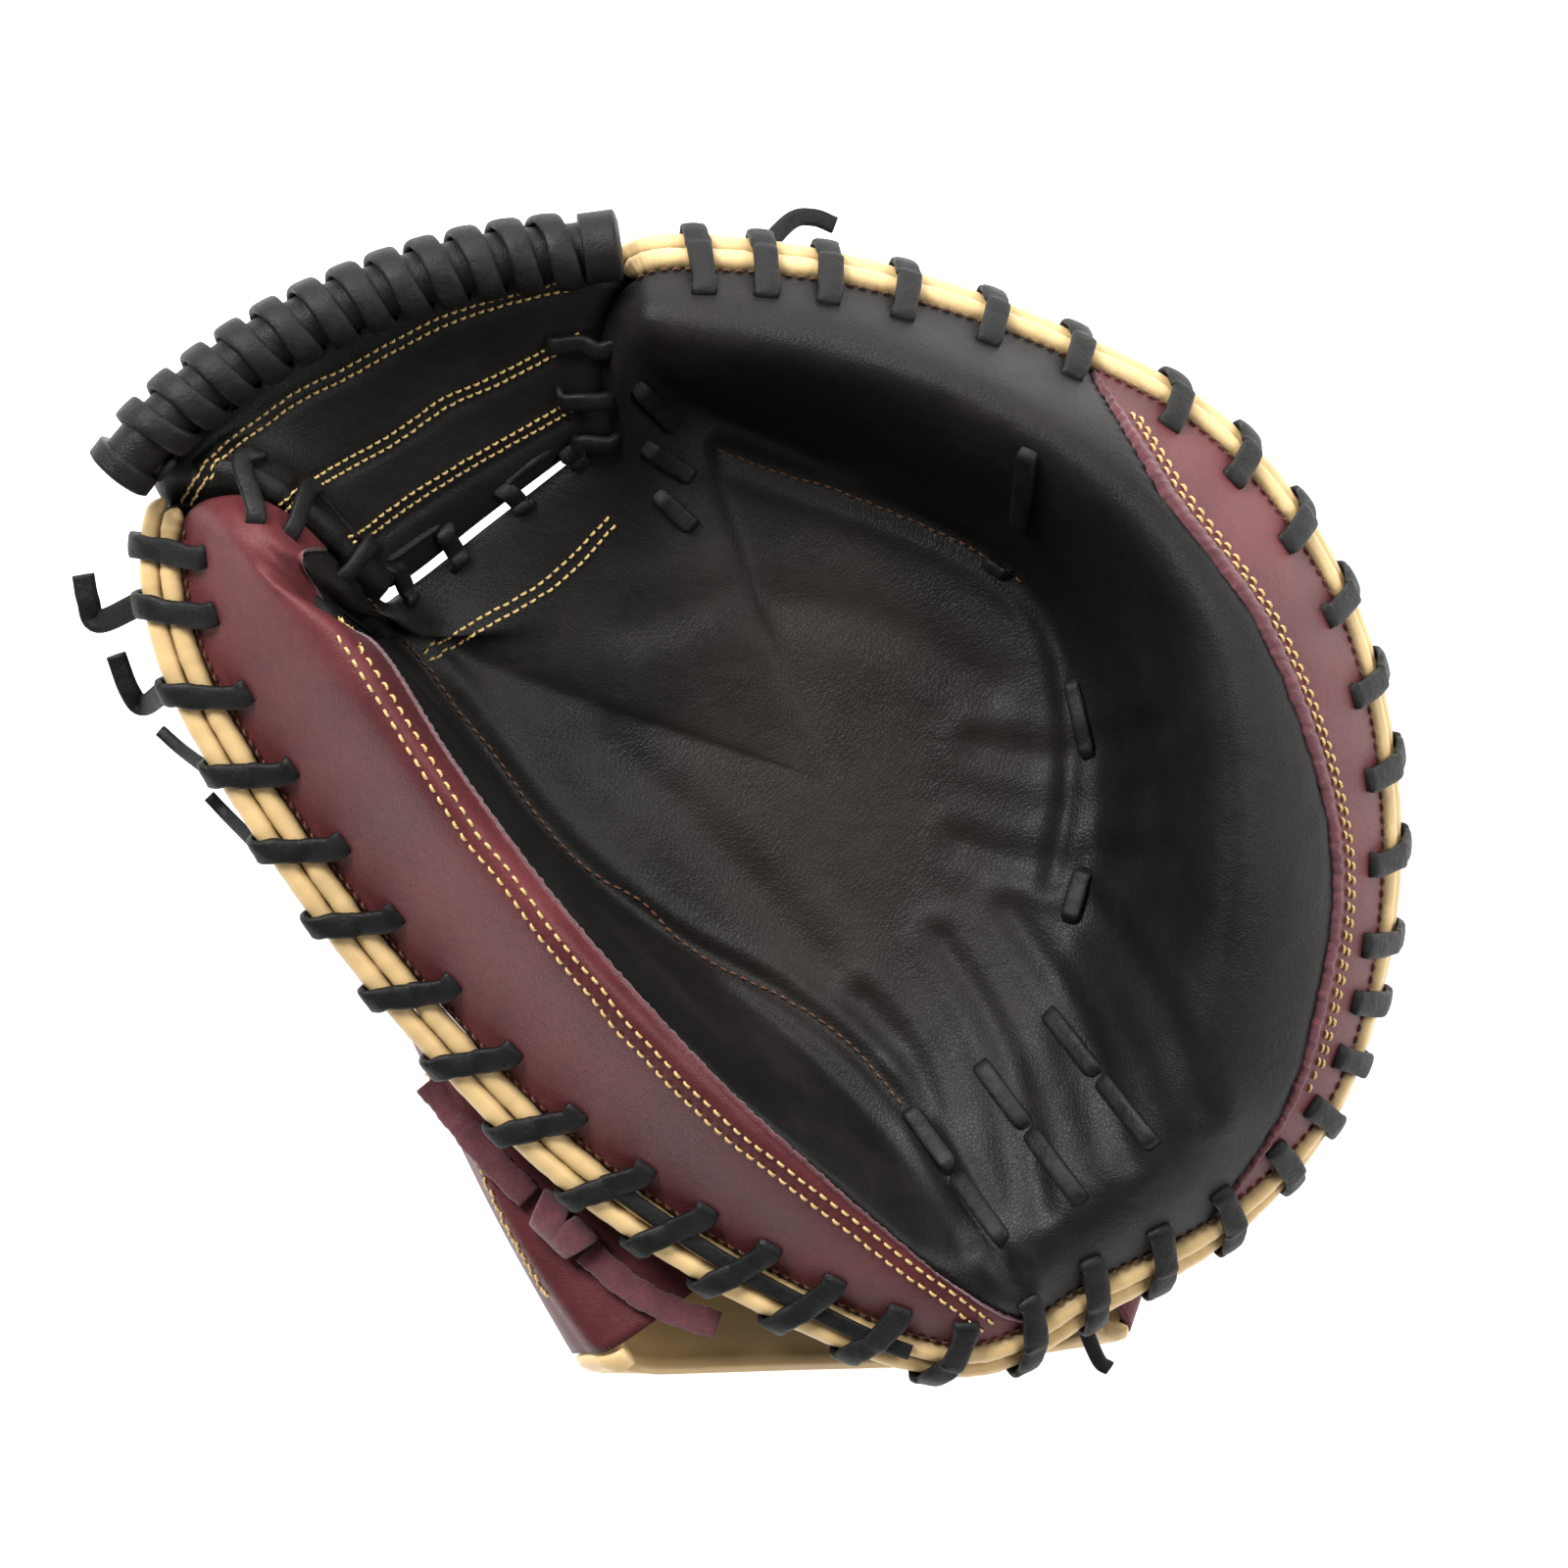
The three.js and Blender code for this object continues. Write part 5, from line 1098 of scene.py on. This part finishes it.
def web_point(i, j):
    i, j = np.broadcast_arrays(np.asarray(i, float), np.asarray(j, float))
    shape = i.shape
    i, j = i.ravel(), j.ravel()
    a, b = i[:, None], j[:, None]
    bottom = web_edge(mix(WEB_LEFT[0], WEB_RIGHT[0], i))
    corner = [[web_side(x, np.array([float(y)]))[0] for y in (0, 1)] for x in (0, 1)]
    point = (bottom * (1 - b) + web_top(i) * b + web_side(0, j) * (1 - a) + web_side(1, j) * a
             - corner[0][0] * (1 - a) * (1 - b) - corner[1][0] * a * (1 - b)
             - corner[0][1] * (1 - a) * b - corner[1][1] * a * b)
    point = point - UP * WEB_SAG * np.sin(np.pi * a) * np.sin(np.pi * b)
    return point.reshape(*shape, 3)


def tucked_web(i, j):
    """The web with its sides tucked under the palm leather and its top under the roll."""
    middle = web_point(np.clip(i, 0, 1), np.clip(j, 0, 1))
    left = np.clip(-i, 0, 1)[..., None] * np.array((13.0, -75.0, -120.0))
    right = np.clip(i - 1, 0, 1)[..., None] * np.array((95.0, -22.0, -85.0))
    above = np.clip(j - 1, 0, 1)[..., None] * np.array((-38.0, 78.0, 34.0))
    held = smooth(j, 0.03, 0.16)[..., None]
    return middle + (left + right) * held + above


def make_web():
    i = np.concatenate(((-0.11, -0.085, -0.06, -0.03), np.linspace(0, 1, 130), (1.03, 1.06, 1.09)))[:, None]
    j = np.concatenate((np.linspace(0, 1, 90), (1.03, 1.06, 1.09)))[None]
    middle = tucked_web(i, j)
    normals = grid_normals_up(middle)
    flat = middle.reshape(-1, 3)
    swell = np.zeros(len(flat))
    for pixels in WEB_ROWS:
        path = from_photo(pixels, 80)
        swell += 0.75 * np.exp(-(line_distance(flat, spline(path, 80)) / 1.1) ** 2)
    edge = np.minimum(np.minimum(i + 0.11, 1.09 - i) * 100, np.minimum(j, 1.09 - j) * 80)
    round_off = 1.1 * (1 - smooth(edge, 0, 2.2))
    puff = 0.55 + 0.35 * np.sin(np.clip(j, 0, 1) * 9.0 + 0.6) - swell.reshape(middle.shape[:2])
    outer = middle + normals * (WEB_WALL / 2 + puff - round_off)[..., None]
    inner = middle - normals * (WEB_WALL / 2 - round_off * 0.6)[..., None]
    points, faces = wall_mesh(outer, inner)
    piece("web_leather", points, faces, [finish("black")], ("web",), "black_leather")
    SURFACES["web"] = Surface(outer, normals)


def make_roll():
    t = np.sort(np.concatenate((np.linspace(0, 1, 260), (0.0395, 0.0405, 0.9295, 0.9305))))
    point, _, inward, rise = roll_at(t)
    cuffed = (t < 0.04) | (t > 0.93)
    ends = np.minimum(t, 1 - t) * 260
    radius = (ROLL_RADIUS + np.where(cuffed, CUFF_WALL, 0)) * np.sqrt(np.clip(0.4 + ends / 2.5, 0.05, 1))
    made = piece("web_roll_leather", *round_tube(point, inward, rise, radius, 28), [finish("black")],
                 ("web_roll",), "black_leather")
    count = ROLL_TURNS * 34
    k = np.arange(count + 1)
    t = mix(0.065, 0.905, k / count)
    point, along, inward, rise = roll_at(t)
    angle = 2 * np.pi * k / 34
    away = inward * np.cos(angle)[:, None] - rise * np.sin(angle)[:, None]
    path = point + away * (ROLL_LACE_RADIUS - 0.7)
    width = ROLL_LACE_WIDTH * (1.0 + 0.04 * np.sin(angle * 2.3))
    piece("roll_lace_leather", *ribbon(path, along, width, ROLL_LACE_THICKNESS), [finish("lace")],
          ("roll_lace",), "lace_leather")


def make_joint(name, crossings):
    lift = LACE_THICKNESS / 2 + 0.5
    path, sides = [], []
    for k, (s, border, i, j) in enumerate(crossings):
        at = np.array([float(s)])
        rim = Rim(at)
        u = seam_inset(at, HOLE_INSET)
        hole, face = palm_point(at, u)[0], palm_normal(at, u)[0]

        def over(place, extra):
            point = web_point(*[np.array([float(v)]) for v in place])[0]
            step = [np.clip(v, 0.03, 0.97) for v in place]
            square = np.array([[web_point(np.array([step[0] + a]), np.array([step[1] + b]))[0]
                                for b in (-0.02, 0.02)] for a in (-0.02, 0.02)])
            normal = unit(np.cross(square[1, 0] - square[0, 0], square[0, 1] - square[0, 0]))
            normal = normal * (-1 if normal[2] < 0 else 1)
            return point + normal * (lift + WEB_WALL / 2 + extra), normal
        border_point, normal = over(border, 0.9)
        far, far_normal = over((i, j), 0.8)
        inside = unit(border_point - hole)
        beyond = unit(far - border_point)
        leg = [hole - face * 2.2 - inside * 0.4, hole + face * lift + inside * 1.4, border_point, far,
               far - far_normal * 2.6 + beyond * 1.2]
        side = [rim.along[0]] * 5
        if k % 2:
            leg.reverse()
        path += leg
        sides += [direction * (-1 if k % 2 else 1) for direction in side]
    path, sides = np.array(path), np.array(sides)
    count = len(path) * 9
    t = np.linspace(0, len(path) - 1, count)
    n = np.clip(np.floor(t).astype(int), 0, len(path) - 2)
    ends = np.concatenate((path[:1], path, path[-1:]))
    fine = catmull(ends[n], ends[n + 1], ends[n + 2], ends[n + 3], (t - n)[:, None])
    piece(name + "_leather", *ribbon(fine, mix(sides[n], sides[n + 1], (t - n)[:, None]), LACE_WIDTH * 0.8,
                                     LACE_THICKNESS), [finish("lace")], (name,), "lace_leather")


def make_joints():
    for name, run, border, i in (("thumb_web_lace", WEB_LEFT, 0, 0.07), ("finger_web_lace", WEB_RIGHT, 1, 0.93)):
        make_joint(name, [(mix(*run, j), (border, j), i, j) for j in (0.2, 0.45, 0.7)])
    make_joint("palm_web_lace", [(mix(WEB_LEFT[0], WEB_RIGHT[0], i), (i, 0), i, 0.12) for i in (0.25, 0.45, 0.65, 0.85)])


def surface_of_palm():
    if "palm" not in SURFACES:
        points, normals, _, _ = palm_front()
        SURFACES["palm"] = Surface(points, normals)
    return SURFACES["palm"]


def make_palm_laces():
    palm = surface_of_palm()
    for name, start, end, width in PALM_LACES:
        plan = np.array((start, end)) * SPAN[:2]
        t = np.linspace(0, 1, 46)
        spots = [palm.at(*mix(plan[0], plan[1], v)) for v in t]
        ground = np.array([spot[0] for spot in spots])
        normals = np.array([spot[1] for spot in spots])
        ground = np.stack([np.convolve(np.pad(ground[:, k], 3, mode="edge"), np.ones(7) / 7, "valid")
                           for k in range(3)], -1)
        reach = norm(ground[-1] - ground[0])[0]
        from_end = np.minimum(t, 1 - t) * reach
        if name.startswith("heel"):
            from_end = np.minimum(from_end, np.abs(t - 0.48) * reach + 0.4)
        lift = mix(-2.2, LACE_THICKNESS / 2 + 0.25, smooth(from_end, 0.0, 3.2))
        path = ground + normals * lift[:, None]
        heading = unit(np.gradient(path, axis=0))
        side = np.cross(heading, normals)
        taper = 1 - 0.22 * (1 - smooth(from_end, 0, 4.0))
        piece(name + "_leather", *ribbon(path, side, width * taper, LACE_THICKNESS), [finish("lace")],
              (name,), "lace_leather")


def make_tails():
    parts = []
    for name, wrap, width, run in TAILS:
        steps, back = wrap_steps(WRAPS[wrap])
        rim = Rim(np.array([back]))
        root = (steps[8][0] + steps[9][0]) / 2 + rim.across[0] * (LACE_THICKNESS / 2 + 1.05)
        line = spline([root - rim.across[0] * 1.5, *(np.array(run) * SPAN)], 40)
        heading = unit(np.gradient(line, axis=0))
        side = np.cross(heading, UP)
        bend = np.sin(np.linspace(0, np.pi, 40)) * 0.5
        line = line + UP * bend[:, None] * 0.6
        piece(name + "_leather", *ribbon(line, side, width * np.linspace(1.0, 0.92, 40), LACE_THICKNESS),
              [finish("lace")], (name,), "lace_leather")
    return parts


# ---- wrist strap


STRAP_RUNS = ((4.75, 3.05), (7.0, 8.0))
STRAP_ENDS = [(np.array(heel) * SPAN, np.array(wrist) * SPAN) for _, heel, wrist, _, _ in STRAP]
STRAP_PULLS = [(start, end) for *_, start, end in STRAP]


def flange_end(s):
    rim = Rim(s)
    fall = -unit(mix(UP, rim.top, rim.cut[..., PIPED, None]))
    return back_seam(s, rim) + fall * (FLANGE_DEPTH + 2 * GAP)


def strap_row(index, across):
    straight = [mix(a, b, across[:, None]) for a, b in STRAP_ENDS]
    within = np.clip(across, 0, 1)
    result = straight[index]
    for run, own, share in zip(STRAP_RUNS, (0, len(STRAP) - 1), STRAP_PULLS[index]):
        if share:
            ends = flange_end(np.array(run, float))
            flat = straight[index] if index == own else mix(ends[0], ends[1], within[:, None])
            result = result + (flange_end(mix(run[0], run[1], within)) - flat) * share
    return result


def strap_grid(columns, fine=10, first=0, last=None):
    """Rows along the strap, smoothed between the rows of its table, and their outward normals."""
    across = np.asarray(columns, float)
    rows = np.array([strap_row(index, across) for index in range(len(STRAP))])
    ends = np.concatenate((2 * rows[:1] - rows[1:2], rows, 2 * rows[-1:] - rows[-2:-1]))
    last = len(STRAP) - 1 if last is None else last
    t = np.linspace(first, last, int((last - first) * fine) + 1)
    i = np.clip(np.floor(t).astype(int), 0, len(STRAP) - 2)
    grid = catmull(ends[i], ends[i + 1], ends[i + 2], ends[i + 3], (t - i)[:, None, None])
    grid[..., 2] = np.maximum(grid[..., 2], 0)
    normals = unit(np.cross(np.gradient(grid, axis=1), np.gradient(grid, axis=0)))
    return grid, normals


def make_strap():
    outer, normals = strap_grid(np.linspace(0, 1, 30))
    points, faces = wall_mesh(outer, outer - normals * STRAP_WALL)
    piece("wrist_strap_leather", points, faces, [finish("maroon")], ("wrist_strap",), "maroon_leather")
    SURFACES["strap"] = Surface(outer, normals)
    columns = np.array((-0.070, -0.066, -0.058, -0.045, -0.030, -0.014, -0.010, 0.03, 0.12, 0.25, 0.4, 0.55, 0.7,
                        0.85, 0.94, 0.96))
    knots = (-0.070, -0.045, -0.014, -0.010, 0.96)
    near = np.interp(columns, knots, (2.0, 0.4, 0.3, LINING_DEPTH, LINING_DEPTH))
    far = np.interp(columns, knots, (5.0, 7.6, 8.0, LINING_DEPTH + LINING_WALL, LINING_DEPTH + LINING_WALL))
    grid, normals = strap_grid(columns, first=1, last=len(STRAP) - 2)
    quilt = 0.35 * np.sin(np.linspace(0, 40, len(grid)))[:, None] * smooth(columns, 0.02, 0.2)[None]
    outer = grid - normals * near[None, :, None]
    inner = grid - normals * (far[None] + quilt)[..., None]
    points, faces = wall_mesh(outer, inner)
    made = piece("strap_lining_leather", points, faces, [finish("cream")], ("strap_lining",), "cream_leather",
                 attributes={"shade_mask": np.zeros(len(points))})
    raised = inner[..., 2] > 25
    SURFACES["lining"] = Surface(np.concatenate((outer[raised], inner[raised])),
                                 np.concatenate((normals[raised], -normals[raised])))


def make_tie():
    ground = [SURFACES["strap"], SURFACES["lining"]]

    def height(x, y):
        found = [surface.at(x, y)[0] for surface in ground]
        return max([spot[2] for spot in found if np.hypot(spot[0] - x, spot[1] - y) < 4], default=0)
    for name, run in TIE_TAILS:
        line = spline(np.array(run) * SPAN, 44)
        for k, (x, y, z) in enumerate(line):
            line[k, 2] = max(z, height(x, y) + 0.6 + TIE_THICKNESS / 2)
        line[:, 2] = np.convolve(np.pad(line[:, 2], 3, mode="edge"), np.ones(7) / 7, "valid") + 0.3
        side = np.cross(unit(np.gradient(line, axis=0)), UP)
        wobble = TIE_WIDTH * (1 + 0.05 * np.sin(np.arange(44) * 0.7) + 0.03 * np.sin(np.arange(44) * 2.1))
        piece(name + "_leather", *ribbon(line, side, wobble, TIE_THICKNESS), [finish("suede")], (name,), "maroon_leather")
    start, end = np.array(TIE_KNOT) * SPAN
    along, middle = unit(end - start), (start + end) / 2
    level = max(height(*mix(start, end, share)[:2]) for share in (0, 1 / 3, 2 / 3, 1)) - GAP + KNOT_HEIGHT / 2
    middle[2] = level
    side = np.cross(along, UP)
    reach, parts = norm(end - start)[0], []
    for turn, (shift, tilt) in enumerate(((-0.24, 0.30), (0.22, -0.22))):
        angle = np.linspace(0, 2 * np.pi, 61)
        loop = (middle + along * reach * shift + side * (KNOT_WIDTH / 2 - 1.1) * np.cos(angle)[:, None]
                + along * (tilt * KNOT_WIDTH * 0.5) * np.cos(angle)[:, None]
                + UP * (KNOT_HEIGHT / 2 - 1.2) * np.sin(angle)[:, None])
        parts.append(ribbon(loop, np.broadcast_to(along, loop.shape), reach * 0.52, TIE_THICKNESS))
    t = np.linspace(-0.42, 0.42, 24)[:, None]
    core = middle + along * reach * t
    parts.append(round_tube(core, np.broadcast_to(side, core.shape), np.broadcast_to(UP, core.shape),
                            2.6 * np.sqrt(np.clip(1 - (t[:, 0] / 0.43) ** 2, 0.02, 1)), 16))
    points, faces = joined(parts)
    piece("tie_knot_leather", points, faces, [finish("suede")], ("tie_knot",), "maroon_leather")


# ---- stitches


def stitch_line(surface, pixels, level, spacing, length, radius, parts):
    plan = drop_to(surface, pixels, level)
    places, headings, normals = surface.along(plan, spacing)
    parts.append(stitch_mesh(places + normals * radius * 0.4, headings, normals, length, radius))


def make_stitches():
    cream = []
    for pixels in WEB_ROWS:
        stitch_line(SURFACES["web"], pixels, 80, 2.35, 1.75, 0.36, cream)
    for shift in ((0, 0), (10.5, -7.8)):
        row = [(x + shift[0], y + shift[1]) for x, y in THUMB_ROW]
        stitch_line(SURFACES["thumb_panel"], row, 100, 3.5, 2.4, sizes().stitch_radius, cream)
    for name, rows in (("finger_panel", FINGER_ROWS),):
        low, high = panel_span(name)
        for away in rows:
            s = np.linspace(low + 0.12, high - 0.12, 500)
            border = panel_border(s)
            reach = norm(palm_point(s, border + 0.02) - palm_point(s, border))[:, 0] / 0.02
            u = border + away / np.maximum(reach, 20)
            keep = u < seam_inset(s, HOLE_INSET + 5.5)
            places, normals = palm_point(s, u)[keep], palm_normal(s, u)[keep]
            even = spread(np.concatenate((places, normals), 1), 3.5)
            cream.append(stitch_mesh(even[:, :3] + unit(even[:, 3:]) * 0.12, np.gradient(even[:, :3], axis=0),
                                     unit(even[:, 3:]), 2.4, 0.4))
    palm = surface_of_palm()
    stitch_line(palm, FLAP_LOOP, 55, 2.5, 1.8, 0.36, cream)
    stitch_line(palm, FLAP_LOOP_INNER, 55, 2.5, 1.8, 0.36, cream)
    for pixels in STRAP_SEAMS:
        stitch_line(SURFACES["strap"], pixels, 40, 3.0, 2.2, 0.4, cream)
    piece("cream_stitches", *joined(cream), [finish("thread")], (), None)
    dark = []
    for pixels in DARK_ROWS:
        stitch_line(palm, pixels, 60, 2.8, 2.1, 0.34, dark)
    s = np.linspace(0.05, 15.7, 4000)
    rim = Rim(s)
    seam = palm_point(s, seam_inset(s, 1.5))
    even = spread(np.concatenate((seam, palm_normal(s, seam_inset(s, 1.5))), 1), 3.0)
    dark.append(stitch_mesh(even[:, :3] + even[:, 3:] * 0.15, np.gradient(even[:, :3], axis=0), unit(even[:, 3:]),
                            2.2, 0.42))
    for name in ("back_fingers", "back_thumb"):
        s, outer = SURFACES[name]
        for column, spacing in ((-2, 3.4),):
            edge = spread(outer[:, column] - UP * 0.1, spacing)
            dark.append(stitch_mesh(edge, np.gradient(edge, axis=0), np.broadcast_to(-UP, edge.shape), 2.3, 0.35))
    piece("brown_stitches", *joined(dark), [finish("dark_thread")], (), None)


# ---- stage


def make_stage():
    settings = colours()
    bpy.ops.object.select_all(action="DESELECT")
    bpy.ops.mesh.primitive_plane_add(size=6.0, location=(0, 0, -0.0015))
    floor = bpy.context.active_object
    floor.name = "studio_floor"
    n = Nodes("studio_paper")
    n.shader.inputs["Base Color"].default_value = (*settings.floor[:3], 1)
    n.shader.inputs["Roughness"].default_value = 0.9
    n.shader.inputs["Emission Color"].default_value = (1, 1, 1, 1)
    n.shader.inputs["Emission Strength"].default_value = 0.85
    floor.data.materials.append(n.material)
    for name, place, size, watts in (("key_light", (-0.75, 0.85, 1.35), 0.75, 36.0), ("fill_light", (1.2, 0.2, 1.2), 1.0, 15.0),
                                     ("back_light", (0.2, 1.5, 0.9), 0.8, 14.0)):
        light = bpy.data.lights.new(name, "AREA")
        light.shape, light.size, light.energy = "DISK", size, watts
        lamp = bpy.data.objects.new(name, light)
        lamp.location = place
        lamp.rotation_euler = Vector([-v for v in place]).to_track_quat("-Z", "Y").to_euler()
        bpy.context.scene.collection.objects.link(lamp)
    world = bpy.data.worlds.new("studio")
    world.use_nodes = True
    world.node_tree.nodes["Background"].inputs["Color"].default_value = (1, 1, 1, 1)
    world.node_tree.nodes["Background"].inputs["Strength"].default_value = 0.17
    bpy.context.scene.world = world
    camera = bpy.data.cameras.new("photo_camera")
    camera.sensor_width = 36
    camera.lens = 36 * (EYE[2] - 80) / (PHOTO_SCALE * 1600)
    camera.clip_end = 50
    holder = bpy.data.objects.new("photo_camera", camera)
    holder.location = ((EYE - MIDDLE) * 0.001).tolist()
    bpy.context.scene.collection.objects.link(holder)
    bpy.context.scene.camera = holder
    bpy.context.scene.view_settings.view_transform = "Standard"


# ---- add-on


def colour(name, description, default):
    return bpy.props.FloatVectorProperty(name=name, description=description, subtype="COLOR", size=3,
                                         min=0, max=1, default=default)


class MITT_PG_sizes(bpy.types.PropertyGroup):
    """Sizes of the fine work on the mitt."""
    lace_width: bpy.props.FloatProperty(name="Lace width", description="Width of the edge lace in millimetres",
                                        default=LACE_WIDTH, min=3, max=8)
    stitch_radius: bpy.props.FloatProperty(name="Thread radius", description="Half the thread's thickness in millimetres",
                                           default=0.4, min=0.2, max=0.8)


class MITT_PG_colours(bpy.types.PropertyGroup):
    """Colours of the leathers and threads."""
    black: colour("Black leather", "Palm, back and web", (0.0095, 0.0085, 0.0082))
    maroon: colour("Maroon leather", "Panels and strap", (0.118, 0.026, 0.030))
    suede: colour("Maroon suede", "Raw edges and the tie", (0.155, 0.040, 0.052))
    cream: colour("Cream leather", "Piping and strap lining", (0.86, 0.60, 0.28))
    lace: colour("Lace", "Rawhide laces", (0.0085, 0.0078, 0.0075))
    thread: colour("Cream thread", "Stitches on panels and web", (0.80, 0.56, 0.22))
    dark_thread: colour("Brown thread", "Stitches of the seams", (0.11, 0.045, 0.018))
    floor: colour("Paper", "Studio floor", (0.95, 0.95, 0.95))


class MITT_OT_palm(bpy.types.Operator):
    """Padded palm leather with its creases."""
    bl_idname = "mitt.palm"
    bl_label = "Palm"

    def execute(self, context):
        make_palm()
        return {"FINISHED"}


class MITT_OT_panels(bpy.types.Operator):
    """Maroon panels of the thumb and the fingers."""
    bl_idname = "mitt.panels"
    bl_label = "Panels"

    def execute(self, context):
        make_panel("thumb_panel", 420)
        make_panel("finger_panel", 300)
        return {"FINISHED"}


class MITT_OT_piping(bpy.types.Operator):
    """Two cream rolls round the rim."""
    bl_idname = "mitt.piping"
    bl_label = "Piping"

    def execute(self, context):
        make_piping("piping_front", 0)
        make_piping("piping_back", 1)
        return {"FINISHED"}


class MITT_OT_back(bpy.types.Operator):
    """Back leather of fingers, thumb and heel."""
    bl_idname = "mitt.back"
    bl_label = "Back"

    def execute(self, context):
        backs = [wrap_steps(s)[1] for s in WRAPS]
        thumb_heel, heel_little = (backs[6] + backs[7]) / 2, (backs[19] + backs[20]) / 2
        make_back("back_fingers", heel_little + 0.03, BACK_SPLIT + 0.004, 260)
        make_back("back_thumb", BACK_SPLIT - 0.004, COUNT + thumb_heel - 0.03, 220)
        make_back("back_heel", thumb_heel + 0.03, heel_little - 0.03, 120, flange_only=True)
        return {"FINISHED"}


class MITT_OT_web(bpy.types.Operator):
    """Web, its roll and the lace round it."""
    bl_idname = "mitt.web"
    bl_label = "Web"

    def execute(self, context):
        make_web()
        make_roll()
        return {"FINISHED"}


class MITT_OT_laces(bpy.types.Operator):
    """Edge lace, web laces, palm laces and free ends."""
    bl_idname = "mitt.laces"
    bl_label = "Laces"

    def execute(self, context):
        make_edge_lace()
        make_joints()
        make_palm_laces()
        make_tails()
        return {"FINISHED"}


class MITT_OT_strap(bpy.types.Operator):
    """Wrist strap, its lining and its tie."""
    bl_idname = "mitt.strap"
    bl_label = "Wrist strap"

    def execute(self, context):
        make_strap()
        make_tie()
        return {"FINISHED"}


class MITT_OT_stitches(bpy.types.Operator):
    """Rows of thread on panels, web and seams."""
    bl_idname = "mitt.stitches"
    bl_label = "Stitches"

    def execute(self, context):
        make_stitches()
        return {"FINISHED"}


class MITT_OT_stage(bpy.types.Operator):
    """Paper floor, soft lights and the camera."""
    bl_idname = "mitt.stage"
    bl_label = "Stage"

    def execute(self, context):
        make_stage()
        return {"FINISHED"}


OPERATORS = (MITT_OT_palm, MITT_OT_panels, MITT_OT_piping, MITT_OT_back, MITT_OT_web,
             MITT_OT_laces, MITT_OT_strap, MITT_OT_stitches, MITT_OT_stage)


class MITT_PT_panel(bpy.types.Panel):
    """Pieces, sizes and colours of the mitt."""
    bl_idname = "MITT_PT_panel"
    bl_label = "Catcher's mitt"
    bl_space_type = "VIEW_3D"
    bl_region_type = "UI"
    bl_category = "Mitt"

    def draw(self, context):
        for group in (context.scene.mitt_sizes, context.scene.mitt_colours):
            for key in group.__annotations__:
                self.layout.prop(group, key)
        for operator in OPERATORS:
            self.layout.operator(operator.bl_idname)


CLASSES = (MITT_PG_sizes, MITT_PG_colours, *OPERATORS, MITT_PT_panel)


def register():
    for cls in CLASSES:
        bpy.utils.register_class(cls)
    bpy.types.Scene.mitt_sizes = bpy.props.PointerProperty(type=MITT_PG_sizes)
    bpy.types.Scene.mitt_colours = bpy.props.PointerProperty(type=MITT_PG_colours)


def unregister():
    del bpy.types.Scene.mitt_colours
    del bpy.types.Scene.mitt_sizes
    for cls in reversed(CLASSES):
        bpy.utils.unregister_class(cls)


def main():
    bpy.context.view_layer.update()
    register()
    for operator in OPERATORS:
        space, key = operator.bl_idname.split(".")
        getattr(getattr(bpy.ops, space), key)()


if __name__ == "__main__":
    main()
